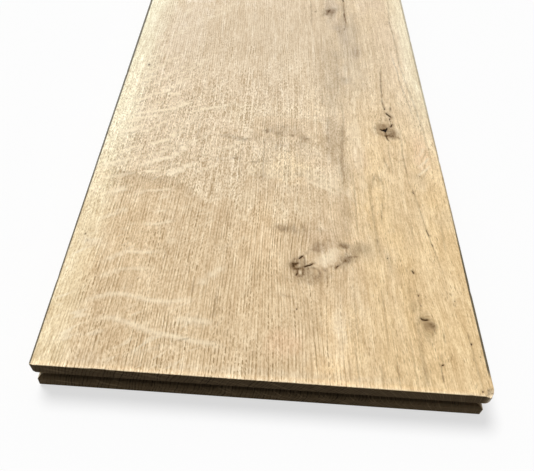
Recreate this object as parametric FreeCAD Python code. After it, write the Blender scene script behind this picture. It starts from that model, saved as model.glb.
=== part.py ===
import FreeCAD, Part

import os

# Wide solid oak floorboard, planed on both faces, with a groove milled round all four edges.
# A loose tongue pushed into the groove joins the board to each of its neighbours.
#
# Frame: X across the board, Y along it, Z up, with the origin in the middle of the underside.
# All lengths are in millimetres.

# The board as it leaves the planer
board_length = 2200.0
board_width = 220.0
board_thickness = 20.0

# The groove, midway between the two faces
groove_height = 5.6
groove_depth = 10.0
groove_floor_radius = 1.0

# The mouth of the groove, opened wider on the lower lip to lead the tongue in
upper_mouth_chamfer = 0.4
lower_mouth_chamfer = 1.2

# Each lower lip stands back behind the upper one, so that the joint closes at the walked-on face
side_setback = 1.5
end_setback = 0.5

# Broken edges
face_bevel = 0.5
back_chamfer = 0.8

# How far the milled-away waste reaches past the board, so that each cut runs out cleanly
waste_margin = 15.0

groove_bottom = (board_thickness - groove_height) / 2
groove_top = (board_thickness + groove_height) / 2


def arc(start, middle, end):
    """An arc through three points of the edge profile."""
    return Part.Arc(start, middle, end).toShape()


def edge_profile(setback):
    """The board's edge seen along its run, from the back face up to the walked-on face.

    X is the distance in from the upper lip's face, and Z the height over the back face.
    """
    radius = groove_floor_radius
    bulge = radius * (1 - 0.5 ** 0.5)
    lower_lip = [
        FreeCAD.Vector(setback + back_chamfer, 0, 0),
        FreeCAD.Vector(setback, 0, back_chamfer),
        FreeCAD.Vector(setback, 0, groove_bottom - lower_mouth_chamfer),
        FreeCAD.Vector(setback + lower_mouth_chamfer, 0, groove_bottom),
        FreeCAD.Vector(groove_depth - radius, 0, groove_bottom),
    ]
    lower_corner = arc(
        lower_lip[-1],
        FreeCAD.Vector(groove_depth - bulge, 0, groove_bottom + bulge),
        FreeCAD.Vector(groove_depth, 0, groove_bottom + radius),
    )
    groove_floor = [
        FreeCAD.Vector(groove_depth, 0, groove_bottom + radius),
        FreeCAD.Vector(groove_depth, 0, groove_top - radius),
    ]
    upper_lip = [
        FreeCAD.Vector(groove_depth - radius, 0, groove_top),
        FreeCAD.Vector(upper_mouth_chamfer, 0, groove_top),
        FreeCAD.Vector(0, 0, groove_top + upper_mouth_chamfer),
        FreeCAD.Vector(0, 0, board_thickness - face_bevel),
        FreeCAD.Vector(face_bevel, 0, board_thickness),
    ]
    upper_corner = arc(
        groove_floor[-1],
        FreeCAD.Vector(groove_depth - bulge, 0, groove_top - bulge),
        upper_lip[0],
    )
    edges = Part.makePolygon(lower_lip).Edges + [lower_corner]
    edges += Part.makePolygon(groove_floor).Edges + [upper_corner]
    edges += Part.makePolygon(upper_lip).Edges
    return edges, lower_lip[0], upper_lip[-1]


def edge_waste(setback, run):
    """What the cutters take off one edge, as a solid that is run long and centred on Y = 0."""
    edges, foot, head = edge_profile(setback)
    outside = [
        head,
        FreeCAD.Vector(head.x, 0, board_thickness + waste_margin),
        FreeCAD.Vector(-waste_margin, 0, board_thickness + waste_margin),
        FreeCAD.Vector(-waste_margin, 0, -waste_margin),
        FreeCAD.Vector(foot.x, 0, -waste_margin),
        foot,
    ]
    section = Part.Face(Part.Wire(edges + Part.makePolygon(outside).Edges))
    waste = section.extrude(FreeCAD.Vector(0, run, 0))
    waste.translate(FreeCAD.Vector(0, -run / 2, 0))
    return waste


def placed_on_edge(waste, turn, offset):
    """The waste turned about Z and moved out to the board's edge that it is milled from."""
    waste.rotate(FreeCAD.Vector(0, 0, 0), FreeCAD.Vector(0, 0, 1), turn)
    waste.translate(offset)
    return waste


def floorboard():
    """The planed board with its four edges milled."""
    board = Part.makeBox(
        board_width,
        board_length,
        board_thickness,
        FreeCAD.Vector(-board_width / 2, -board_length / 2, 0),
    )
    side_run = board_length + 2 * waste_margin
    end_run = board_width + 2 * waste_margin
    to_side = FreeCAD.Vector(board_width / 2, 0, 0)
    to_end = FreeCAD.Vector(0, board_length / 2, 0)
    for waste, turn, offset in (
        (edge_waste(side_setback, side_run), 0, -to_side),
        (edge_waste(side_setback, side_run), 180, to_side),
        (edge_waste(end_setback, end_run), 90, -to_end),
        (edge_waste(end_setback, end_run), -90, to_end),
    ):
        board = board.cut(placed_on_edge(waste, turn, offset))
    return board.removeSplitter()


def export(name, shape):
    """Writes one solid to parts/NAME.step, after a check that it is sound."""
    if not shape.isValid() or len(shape.Solids) != 1:
        raise ValueError(name + " is not one valid solid")
    shape.Solids[0].exportStep(os.path.join("parts", name + ".step"))
    print(name, "volume", round(shape.Volume / 1e6, 4), "litres,", len(shape.Faces), "faces")


os.makedirs("parts", exist_ok=True)
export("oak_floorboard", floorboard())
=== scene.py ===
import math
from bisect import bisect_left, bisect_right

import bpy
import numpy as np
from mathutils import Matrix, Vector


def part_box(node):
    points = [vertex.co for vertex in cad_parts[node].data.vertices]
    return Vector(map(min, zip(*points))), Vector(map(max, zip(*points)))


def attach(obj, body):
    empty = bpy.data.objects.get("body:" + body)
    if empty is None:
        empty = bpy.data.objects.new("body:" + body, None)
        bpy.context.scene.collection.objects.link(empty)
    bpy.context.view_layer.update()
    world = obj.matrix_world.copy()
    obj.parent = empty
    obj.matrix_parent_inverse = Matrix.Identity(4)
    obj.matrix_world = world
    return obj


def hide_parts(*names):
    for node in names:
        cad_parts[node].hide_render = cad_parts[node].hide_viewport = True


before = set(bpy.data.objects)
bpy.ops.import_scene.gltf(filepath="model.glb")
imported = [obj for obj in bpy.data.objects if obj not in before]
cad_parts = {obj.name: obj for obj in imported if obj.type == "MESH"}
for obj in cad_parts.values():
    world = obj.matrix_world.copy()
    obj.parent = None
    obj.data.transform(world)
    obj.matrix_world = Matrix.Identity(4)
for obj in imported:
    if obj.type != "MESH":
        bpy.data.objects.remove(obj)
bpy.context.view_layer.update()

# Lengths are in millimetres until the mesh is made. "Along" counts from the near end of the board,
# the one with the large knot, and "across" from the board's middle line.
MM = 0.001
BOARD = "oak_floorboard"
(low_x, low_y, low_z), (high_x, high_y, high_z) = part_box(BOARD)
HALF_WIDTH = (high_x - low_x) / 2 / MM
LENGTH = (high_y - low_y) / MM
THICKNESS = (high_z - low_z) / MM
HALF_LENGTH = LENGTH / 2

# The milled edge, as in the part's source
GROOVE_HEIGHT = 5.6
GROOVE_DEPTH = 10.0
GROOVE_FLOOR_RADIUS = 1.0
UPPER_MOUTH_CHAMFER = 0.4
LOWER_MOUTH_CHAMFER = 1.2
SIDE_SETBACK = 1.5
END_SETBACK = 0.5
FACE_BEVEL = 0.5
BACK_CHAMFER = 0.8

# The walked-on face inside its bevel, and the photographed stretch of it, which gets the finest mesh
FACE_HALF_WIDTH = HALF_WIDTH - FACE_BEVEL
FACE_LENGTH = LENGTH - 2 * FACE_BEVEL
SHOWN_LENGTH = 400.0

# The board's sides, in the order in which its outline runs, then its two faces
NEAR, RIGHT, FAR, LEFT, FACE, BACK = range(6)

rng = np.random.default_rng(380)


def smoothstep(low, high, x):
    """0 before low, 1 past high and a smooth ramp between them. low may be the larger of the two."""
    t = np.clip((np.asarray(x, float) - low) / (high - low), 0, 1)
    return t * t * (3 - 2 * t)


def bell(away, width):
    """1 where away is 0, and little more than 0 from twice the width on."""
    return np.exp(-((away / width) ** 2))


def laid_over(lower, upper):
    """The share that is covered when one covering lies over another."""
    return 1 - (1 - lower) * (1 - upper)


NOISE_LAYERS, NOISE_CELLS = 8, 256
OCTAVE_SCALE, OCTAVE_SHIFT_X, OCTAVE_SHIFT_Y = 2.03, 17.3, 41.7
noise_table = rng.random((NOISE_LAYERS, NOISE_CELLS, NOISE_CELLS))


def noise(x, y, layer=0, octaves=1):
    """Smooth noise from 0 to 1 with features one unit wide."""
    total, weight, share = 0.0, 0.0, 1.0
    table = noise_table[layer]
    for _ in range(octaves):
        i, j = np.floor(x), np.floor(y)
        u, v = x - i, y - j
        u, v = u * u * (3 - 2 * u), v * v * (3 - 2 * v)
        i, j = i.astype(int) % NOISE_CELLS, j.astype(int) % NOISE_CELLS
        i2, j2 = (i + 1) % NOISE_CELLS, (j + 1) % NOISE_CELLS
        near_row = table[i, j] * (1 - u) + table[i2, j] * u
        far_row = table[i, j2] * (1 - u) + table[i2, j2] * u
        total = total + share * (near_row * (1 - v) + far_row * v)
        weight += share
        share *= 0.5
        x, y = x * OCTAVE_SCALE + OCTAVE_SHIFT_X, y * OCTAVE_SCALE + OCTAVE_SHIFT_Y
    return total / weight


# ---- Colours, as shares of the light that the surface gives back ----

PLAIN = (0.782, 0.630, 0.442)  # most of the wood
WARM = (0.748, 0.556, 0.332)  # towards the near end
DULL = (0.728, 0.582, 0.402)  # on the right, away from the near end
GOLD = (0.768, 0.558, 0.300)  # on the right, at the near end
BROWN = (0.700, 0.515, 0.310)  # the wavy figure
CREAM = (0.955, 0.870, 0.635)  # along the edges
BUTTER = (0.915, 0.765, 0.475)  # along the edges, at the near end
PALE = (0.870, 0.715, 0.490)
FLECK = (0.955, 0.825, 0.600)
PORE = (0.345, 0.225, 0.105)
HAZE = (0.125, 0.062, 0.018)
# painted shade of a crack: its lips darken into its near-black inside, and the dark specks use the same two
# colours
CHECK = (0.060, 0.028, 0.007)  # the lips of a crack
CRACK = (0.006, 0.003, 0.001)  # its inside
DARK_EDGE_LINE = (0.034, 0.031, 0.020)  # the line along the long edges
# end grain: darker oiled end grain, made darker still by painted shade of the near end
SHADED_END_GRAIN = (0.152, 0.108, 0.056)  # end grain


# ---- What is in the wood ----

# Open cracks, painted black inside for the shade in them: the points (across, along), the width at its widest,
# and how dark it is
CRACKS = [
    ([(15.8, 76.2), (16.5, 77), (17.4, 77.8), (18.1, 78.4)], 0.68, 0.56),
    ([(18.9, 70.9), (20.1, 71.4), (21.5, 72.1), (22.7, 72.8)], 0.76, 0.58),
    ([(37, 72.2), (37.5, 73), (37.9, 73.5)], 0.6, 0.46),
    ([(12.5, 72.8), (12.6, 71.8), (12.8, 70.9)], 0.9, 0.52),
    ([(13, 71.8), (14.1, 72.4), (15.2, 73.2)], 0.8, 0.42),
    ([(14.8, 65.6), (14.4, 64.8), (14.2, 64.3)], 0.65, 0.5), ([(15.8, 69.3), (15, 69)], 0.6, 0.45),
    # the second knot's black heart, and the broken check beyond it
    ([(73.1, 198.3), (74.7, 197.7), (76.1, 196.8)], 1.3, 1),
    ([(76, 196.4), (76.7, 198.3), (77.9, 200.2)], 1.15, 1), ([(74.7, 198), (76.5, 198.3)], 1.6, 1),
    ([(78.8, 217.9), (79.3, 216.5), (80.5, 215.4), (81.9, 213.7)], 1.4, 0.66),
    ([(81, 211.9), (80.7, 210.3)], 1.2, 0.52), ([(82, 205.3), (81.2, 203.6), (80.4, 202.3)], 0.95, 0.56),
    ([(78.3, 223.6), (78.1, 221.8)], 0.9, 0.56), ([(76.2, 191.9), (76.2, 190.5)], 0.9, 0.6),
    # the small knot near the corner, and the ticks round it
    ([(79.5, 42.3), (80.5, 41.5), (81.5, 41.2), (82.8, 41.7)], 0.55, 0.58),
    ([(79.2, 73.7), (79.5, 73.1), (79.7, 72.1)], 0.7, 0.65), ([(87.3, 15.6), (86.2, 15)], 0.6, 0.62),
    ([(91.5, 105.6), (92, 103.6), (92.6, 101.6)], 0.6, 0.52), ([(87.9, 138.1), (88.2, 136.3)], 0.48, 0.45),
    ([(93.2, 95), (93.5, 93.2)], 0.55, 0.45),
    # the third knot, and the long check beside it
    ([(42.2, 357.6), (42.8, 359.2), (43.5, 360.6)], 1.3, 0.5), ([(55.9, 386.9), (56.2, 378.2)], 0.7, 0.6),
    ([(55.7, 356.1), (56, 350.4)], 0.6, 0.32),
]

# Brown and grey lines: the points, the half width, and how strong
SMUDGES = [
    # round the large knot
    ([(15.6, 76.1), (16.5, 77.1), (18.1, 78.5)], 0.75, 0.52),
    ([(18.5, 78.4), (18.9, 77), (19.2, 75.2), (19.3, 73), (18.9, 71)], 0.7, 0.5),
    ([(12.4, 73.4), (12.5, 71.2), (12.9, 69.6)], 1.15, 0.66),
    ([(12.9, 71.6), (14.1, 72.4), (15.6, 73.5)], 0.8, 0.62),
    ([(12.7, 70), (13.5, 69), (15.1, 68.8), (16.5, 69.5), (18.7, 70.8)], 0.95, 0.62),
    ([(15.2, 69), (15.1, 67.2), (14.9, 65.8), (14.3, 64.8), (14, 64.2)], 0.55, 0.62),
    ([(14.4, 64.4), (16.1, 64), (17.7, 64.4)], 0.6, 0.45),
    ([(17.7, 64.5), (18.1, 66.6), (18.4, 70)], 0.7, 0.55),
    ([(18.7, 70.8), (20.7, 71.7), (23.1, 73), (24.9, 73.7)], 0.65, 0.62),
    ([(12.7, 75), (13.9, 76.2)], 0.9, 0.36),
    ([(18.9, 67.7), (20, 69.6), (23.1, 70.6), (26.1, 69.9), (27.4, 67.7), (26.9, 65.4),
        (25.1, 63.5)], 0.8, 0.34),
    ([(35.4, 71), (36.6, 72), (37.7, 73.4)], 0.8, 0.52), ([(37.7, 73.4), (38.6, 74.5), (39.9, 75.3)], 0.8, 0.3),
    ([(40.9, 76), (41.5, 77.4), (42.1, 78.8)], 0.75, 0.72), ([(39.3, 80.6), (39.2, 76.6)], 0.6, 0.35),
    ([(42.6, 79.9), (45.4, 80.1), (46.6, 80.7), (49.6, 80.6)], 0.7, 0.32),
    ([(43.9, 79.4), (43.6, 76)], 0.8, 0.32), ([(42.8, 85.6), (42.3, 81.2)], 0.7, 0.28),
    ([(39.5, 90.4), (39.8, 88.8), (41.6, 87.7), (43, 87.8), (43.5, 89.6)], 1.6, 0.36),
    ([(42.4, 87.6), (42.7, 86)], 1.1, 0.26), ([(33, 72), (35.2, 73.2)], 0.7, 0.3),
    ([(29.1, 70.2), (30.7, 69.2), (31.5, 69.4)], 0.9, 0.42),
    ([(26.2, 90), (26.1, 87), (23.9, 84.2)], 1.6, 0.12), ([(23.1, 84), (25.7, 83.2), (28.6, 82.8)], 1.2, 0.2),
    ([(19.7, 81.2), (20.3, 80)], 0.8, 0.24), ([(32.6, 92.2), (32.9, 90.4)], 0.6, 0.24),
    ([(12.7, 102.3), (13.1, 98.3), (13.9, 95.1)], 0.9, 0.22),
    ([(17.7, 101.7), (18.7, 99.1), (19.3, 97.3)], 1, 0.26),
    ([(3.5, 100.7), (4.1, 98.3), (6.1, 96.3), (8.1, 98.1)], 1.1, 0.26),
    ([(6.5, 50.8), (9.5, 49.6), (12.5, 50)], 0.8, 0.22),
    # round the second knot
    ([(80.9, 199.2), (82.1, 197), (82.2, 194.4), (81.1, 192.2)], 0.55, 0.42),
    ([(74.9, 191.9), (78.5, 192.3), (82.1, 192)], 1.1, 0.68),
    ([(75.9, 196), (75.8, 193.6), (76.2, 191.6)], 0.8, 0.7),
    ([(76.3, 190.4), (76.7, 188.2), (77.5, 186.2)], 0.65, 0.75),
    ([(70.3, 195.6), (71.5, 193.6), (73.7, 192.2)], 1.3, 0.3), ([(69.5, 199.7), (70.5, 198)], 1.3, 0.3),
    ([(78.9, 218.1), (80.1, 215.7), (82.1, 213.5), (81.1, 210.7)], 1.2, 0.34),
    ([(82.1, 205.7), (80.3, 202)], 1.3, 0.34), ([(82.5, 225.8), (82.6, 220.6)], 0.7, 0.6),
    ([(77.1, 233.3), (77.7, 227.6), (78, 223.2)], 0.7, 0.6),
    ([(79.8, 274.5), (78.6, 257), (77.9, 241.8), (77.3, 232)], 0.6, 0.5),
    ([(80.5, 209.7), (81.3, 207.7)], 0.7, 0.34), ([(74.9, 213.1), (74.5, 203.1)], 0.8, 0.18),
    ([(83.7, 191.4), (85.9, 189.4)], 1, 0.26),
    ([(86.8, 191.8), (85.6, 179.5), (85.5, 166.4), (86.2, 151.2)], 0.5, 0.36),
    ([(72.4, 170), (72.7, 163.3), (74.4, 159.4), (75.2, 154.6)], 0.55, 0.4),
    ([(76.7, 185), (76.3, 170.9), (77.3, 152.8)], 0.5, 0.16),
    # the small knot
    ([(79.5, 42.3), (81.3, 41.2), (83.7, 41.9)], 0.75, 0.46),
    ([(83.3, 39.3), (84.9, 38.3), (86.5, 37.5)], 1.2, 0.42),
    ([(86.2, 14.9), (85.6, 12), (85.5, 5.9)], 0.42, 0.42), ([(80.5, 39.1), (83.5, 37.9)], 1.2, 0.22),
    ([(85.5, 35.9), (86.3, 33.1)], 0.8, 0.22), ([(79.5, 72.9), (79.8, 71.9)], 0.6, 0.5),
    ([(86.8, 22.5), (86.6, 18.5), (87, 15.9)], 0.4, 0.26), ([(85.7, 9.9), (85.6, 6.1)], 0.45, 0.34),
    ([(102.5, 35.7), (103.1, 31.5)], 0.5, 0.34), ([(90.2, 34.5), (89.9, 28.1)], 0.5, 0.26),
    ([(77.3, 42.5), (76.9, 24.5), (77.5, 4.5)], 1.3, 0.18), ([(80.5, 60.5), (80.5, 44.5)], 0.8, 0.16),
    ([(103, 34.5), (103.6, 18.5), (104.1, 2.5)], 0.5, 0.24),
    # the faint long check on the right
    ([(84.9, 152.8), (87.9, 138.7), (89.9, 122.7), (91.5, 106.6), (93.2, 94.6), (95, 82.5),
        (96.6, 72.5)], 0.4, 0.33),
    # the third knot
    ([(42.7, 358.6), (41.3, 354.5), (39.7, 350.1)], 1.1, 0.42),
    ([(44.1, 353.9), (46.5, 357.5), (47.3, 363)], 1.6, 0.32), ([(38.3, 354.6), (37.1, 348.5)], 1.3, 0.24),
    ([(31.3, 357), (30.3, 354.2)], 0.9, 0.42), ([(21.4, 359.9), (21, 357.7)], 0.7, 0.32),
    ([(27.2, 372), (27.4, 350.6), (26.9, 332.3)], 0.6, 0.32),
    ([(55.8, 358.5), (56.1, 348.4), (56.5, 340.3)], 0.55, 0.42),
    ([(55.9, 388), (55.8, 372), (56, 356), (56.4, 341), (55.2, 329.7)], 0.65, 0.4),
    ([(54.7, 331.6), (54.6, 328.2)], 0.55, 0.42), ([(50.5, 328.2), (50.3, 322.1)], 0.6, 0.24),
    # plain brown lines along the right third
    ([(42, 38.5), (42.6, 32.5), (44, 12.5), (45, 0.5)], 0.4, 0.28), ([(45.5, 60.5), (45.5, 25.5)], 0.45, 0.2),
    ([(60.5, 62.5), (60.5, 20.5)], 0.45, 0.22), ([(64, 16.5), (64, 0.5)], 0.45, 0.26),
    ([(56, 12.5), (56, 0.5)], 0.45, 0.24), ([(50.6, 150.8), (50.4, 120.7), (50, 96.6)], 0.6, 0.22),
    ([(60.3, 148.8), (60.2, 120.7), (61.4, 92.6), (62, 78.6)], 0.9, 0.22),
    ([(61.5, 134.7), (62.9, 145.8), (65.5, 150.8), (68.1, 146.8), (70.3, 138.7)], 0.8, 0.2),
    ([(67.5, 128.1), (66.9, 122.7), (65.1, 108.6)], 0.55, 0.26), ([(83.1, 114.6), (82.5, 96.6)], 0.6, 0.18),
    ([(101.2, 112.6), (100.8, 90.5)], 0.7, 0.2),
    ([(97.4, 387.4), (94.7, 348), (96, 320.1), (95.8, 281.8), (99.9, 240.8), (102.8, 206.6),
        (104.8, 160.8)], 0.8, 0.24),
    ([(90.5, 300), (92.7, 273.7), (93.7, 252.7), (96, 236.1), (98.5, 214)], 0.6, 0.28),
    ([(71.9, 30.5), (72.9, 0.5)], 0.5, 0.18), ([(94.4, 148.7), (97.8, 154.8), (100.8, 161.8)], 0.6, 0.2),
    ([(95.9, 156.8), (99.4, 163.8), (101.8, 171.8)], 0.6, 0.2),
    ([(96.9, 166.8), (99.9, 172.8), (102.4, 181.9)], 0.6, 0.18),
    ([(45.5, 302), (45.9, 271.7), (44.9, 233.4)], 0.8, 0.16),
    # round the brown patch in the middle
    ([(-27, 156), (-24.5, 155)], 0.7, 0.34), ([(-15.5, 153.6), (-12.5, 153), (-10.5, 154.2)], 0.55, 0.34),
    ([(-23, 176.1), (-20, 174.9), (-17, 176.7)], 0.55, 0.36), ([(0.5, 171), (0.8, 167)], 0.5, 0.36),
    ([(3.5, 172.5), (6, 172)], 0.55, 0.3), ([(6.5, 167), (10, 166.6)], 0.5, 0.26),
    ([(11.5, 184.6), (12.2, 182.7)], 0.7, 0.4), ([(20.5, 181.1), (23, 181.3)], 0.6, 0.36),
    ([(4.6, 192.6), (6, 191.2)], 0.65, 0.36), ([(-7, 187.7), (-5, 185.1), (-6.4, 183.1)], 0.7, 0.34),
    ([(36.5, 207.2), (35.8, 191.1), (36, 177)], 1, 0.22), ([(33.5, 233.4), (33.3, 220.3)], 0.6, 0.2),
    ([(47.3, 226.3), (47.5, 206.2), (46, 191.1), (44, 160.9), (43.2, 136.8)], 1, 0.2),
    # a few on the left
    ([(-40, 57.6), (-39.8, 46.6)], 0.55, 0.34), ([(-37.9, 20.5), (-40.2, 19.7), (-43.7, 18.1)], 0.5, 0.32),
    ([(-27.4, 52.6), (-27.2, 34.6)], 0.45, 0.24), ([(-6.6, 177.1), (-6.7, 132.9)], 0.4, 0.26),
    ([(-51.1, 191.3), (-51.2, 169.1)], 0.4, 0.24), ([(-7.4, 175.5), (-7.5, 172.7)], 0.55, 0.34),
]

# Pin knots and dark specks: across, along, radius, how dark
DOTS = [
    (80.3, 57.1, 0.6, 0.65), (80.7, 50.5, 0.6, 0.55), (14.5, 42.3, 0.5, 0.65), (103.4, 28.5, 0.6, 0.8),
    (106.7, 21.5, 0.6, 0.5), (104.1, 2.3, 0.7, 0.6), (99.8, 55.3, 0.6, 0.45), (66.1, 81.6, 0.7, 0.6),
    (94.3, 152.8, 0.8, 0.4), (-95.7, 252, 0.9, 0.75), (-102.8, 82.1, 0.8, 0.45), (-100.6, 77.4, 0.7, 0.35),
    (-100.8, 86.4, 0.7, 0.25), (-72.4, 87.1, 0.7, 0.3), (-56.8, 73.1, 0.7, 0.25), (73.1, 208.4, 0.7, 0.35),
    (77.7, 209.6, 0.7, 0.35), (86.2, 204.8, 0.7, 0.3), (15.7, 59, 1, 0.28), (21.5, 59, 0.9, 0.25),
    (94.7, 348, 0.9, 0.4), (98.8, 59.5, 0.5, 0.3), (96.2, 74.5, 0.5, 0.3), (-69, 54.2, 0.6, 0.25),
    (-68.7, 27.6, 0.6, 0.3),
]

# Brown haze: across, along, half width, half length, turn in degrees, how strong
HAZES = [
    (12.9, 71.2, 2.6, 3.6, 0, 0.26), (12.1, 70.6, 4.2, 5.6, 10, 0.2), (16.9, 74, 3.4, 4.4, 0, 0.2),
    (21, 66.8, 5.6, 4.4, 0, 0.24), (19.1, 62.8, 12, 5, 0, 0.16), (17, 69, 6, 8, 0, 0.13),
    (16, 71, 9, 10, 0, 0.09), (48.5, 82.5, 9, 8, 30, 0.16), (25, 62.5, 10, 5, 0, 0.1),
    (43, 77.6, 7.5, 5.2, 48, 0.4), (41.8, 88.2, 4, 3.2, 0, 0.36), (46.5, 84.6, 7, 6, 30, 0.14),
    (27.6, 85.6, 9, 5.2, 38, 0.2), (28.3, 99.5, 2.6, 2.4, 0, 0.2), (40.6, 72.4, 3, 4, 0, 0.14),
    (10.1, 97.7, 12, 4.6, -8, 0.22), (44, 106.7, 6, 18, 0, 0.08), (51.5, 88.4, 8, 6, 0, 0.2),
    (66.8, 79, 2.4, 14, 0, 0.15), (26.1, 38.5, 5, 12, 0, 0.1), (31.1, 65.6, 7, 3.4, 10, 0.1),
    (74.9, 201.7, 5.4, 4.4, 0, 0.34), (79.9, 195.6, 3.8, 4.6, 0, 0.34), (76.9, 197.8, 12, 13, -20, 0.3),
    (76.1, 198, 3.4, 3, 0, 0.55), (80.5, 191, 7, 4, -15, 0.32), (79.9, 213.1, 6, 12, 0, 0.14),
    (82.3, 40.1, 8, 6.4, -30, 0.24), (81.9, 34.5, 6, 10, 0, 0.18), (77.1, 49.5, 4, 7, 0, 0.18),
    (75.5, 58.5, 2.4, 6, 0, 0.12), (77.3, 8.5, 3, 10, 0, 0.12), (85.1, 38.3, 3.4, 2.8, -30, 0.28),
    (42.5, 356.6, 9, 11, -25, 0.26), (42.3, 358.2, 3.2, 4.6, -20, 0.26), (55.3, 352.5, 3, 34, 0, 0.12),
    (-5.5, 186.2, 5, 3, 15, 0.22), (3, 184.1, 4, 3.6, 0, 0.2), (11, 183.1, 3, 2.6, 0, 0.16),
    (19, 181.6, 5, 4, -30, 0.2), (5, 189.1, 18, 8, 0, 0.08), (-25, 176.1, 8, 4, 0, 0.1),
    (18, 176, 5, 7, 0, 0.1), (4, 171, 6, 5, 0, 0.09), (38.9, 269.7, 12, 62, 0, 0.13), (40, 181, 9, 40, 0, 0.13),
    (61.9, 293.8, 4, 8, 0, 0.12), (62.9, 332.2, 4, 34, 0, 0.1), (44, 118.7, 6, 26, 0, 0.1),
    (-32, 177.2, 7, 4, 0, 0.14), (-9, 139, 7, 6, 0, 0.08), (16.5, 147, 2.6, 9, 0, 0.1),
    (8, 132, 16, 5, 0, 0.05), (46, 150, 5, 24, 0, 0.14), (46, 188, 4, 14, 0, 0.1), (-4, 177, 14, 8, 0, 0.06),
    (8, 191, 16, 9, 0, 0.05), (18, 187, 6, 10, 0, 0.07), (-24, 156, 6, 3, 0, 0.12), (-36, 153, 10, 3, 8, 0.1),
    (-22, 175.1, 6, 3, -8, 0.14),
]

# Pale wood, such as the large knot's body: as above
PALES = [
    (31, 78, 10.5, 5.8, 38, 0.9), (37.4, 84.2, 4.6, 3.6, 30, 0.55), (-96.8, 76.7, 9, 4.6, -8, 0.6),
    (55.4, 170.9, 4.6, 90, 0, 0.5), (37.1, 34.5, 5, 28, 3, 0.45), (4, 165, 24, 9, 0, 0.35),
    (9, 150.9, 13, 12, 0, 0.45), (24, 150.9, 8, 18, 20, 0.35), (-15.9, 118.8, 7, 15, 0, 0.5),
    (4.1, 112.7, 9, 13, 0, 0.35), (17, 115.7, 7, 12, 0, 0.35), (-44.1, 206.4, 40, 8, 10, 0.25),
    (12, 213.3, 24, 9, 0, 0.3), (-37.7, 29.6, 14, 3.4, 5, 0.35), (16.5, 66.6, 1.5, 1.8, 0, 0.55),
    (22.9, 71, 2.8, 0.7, 18, 0.45), (24.1, 76.6, 3, 2, 20, 0.3), (43, 82.6, 2.6, 3, 0, 0.3),
    (79.5, 207.5, 2.4, 3.4, 0, 0.3), (85.7, 199.4, 3.4, 4, 0, 0.35), (89.9, 225.2, 3, 16, 0, 0.3),
    (30, 100.7, 8, 5, 0, 0.22), (-5.8, 4.5, 104, 3, 0, 0.25), (83.9, 45.5, 2, 2, 0, 0.2),
    (8, 146, 6.5, 9, 0, 0.75), (24, 148.5, 6, 6, -20, 0.6), (35, 136.5, 5, 3, -35, 0.6),
    (6, 205, 20, 3, 0, 0.35), (59.9, 256.5, 6, 34, 0, 0.3), (46, 46.5, 6, 22, 0, 0.15),
]
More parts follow.
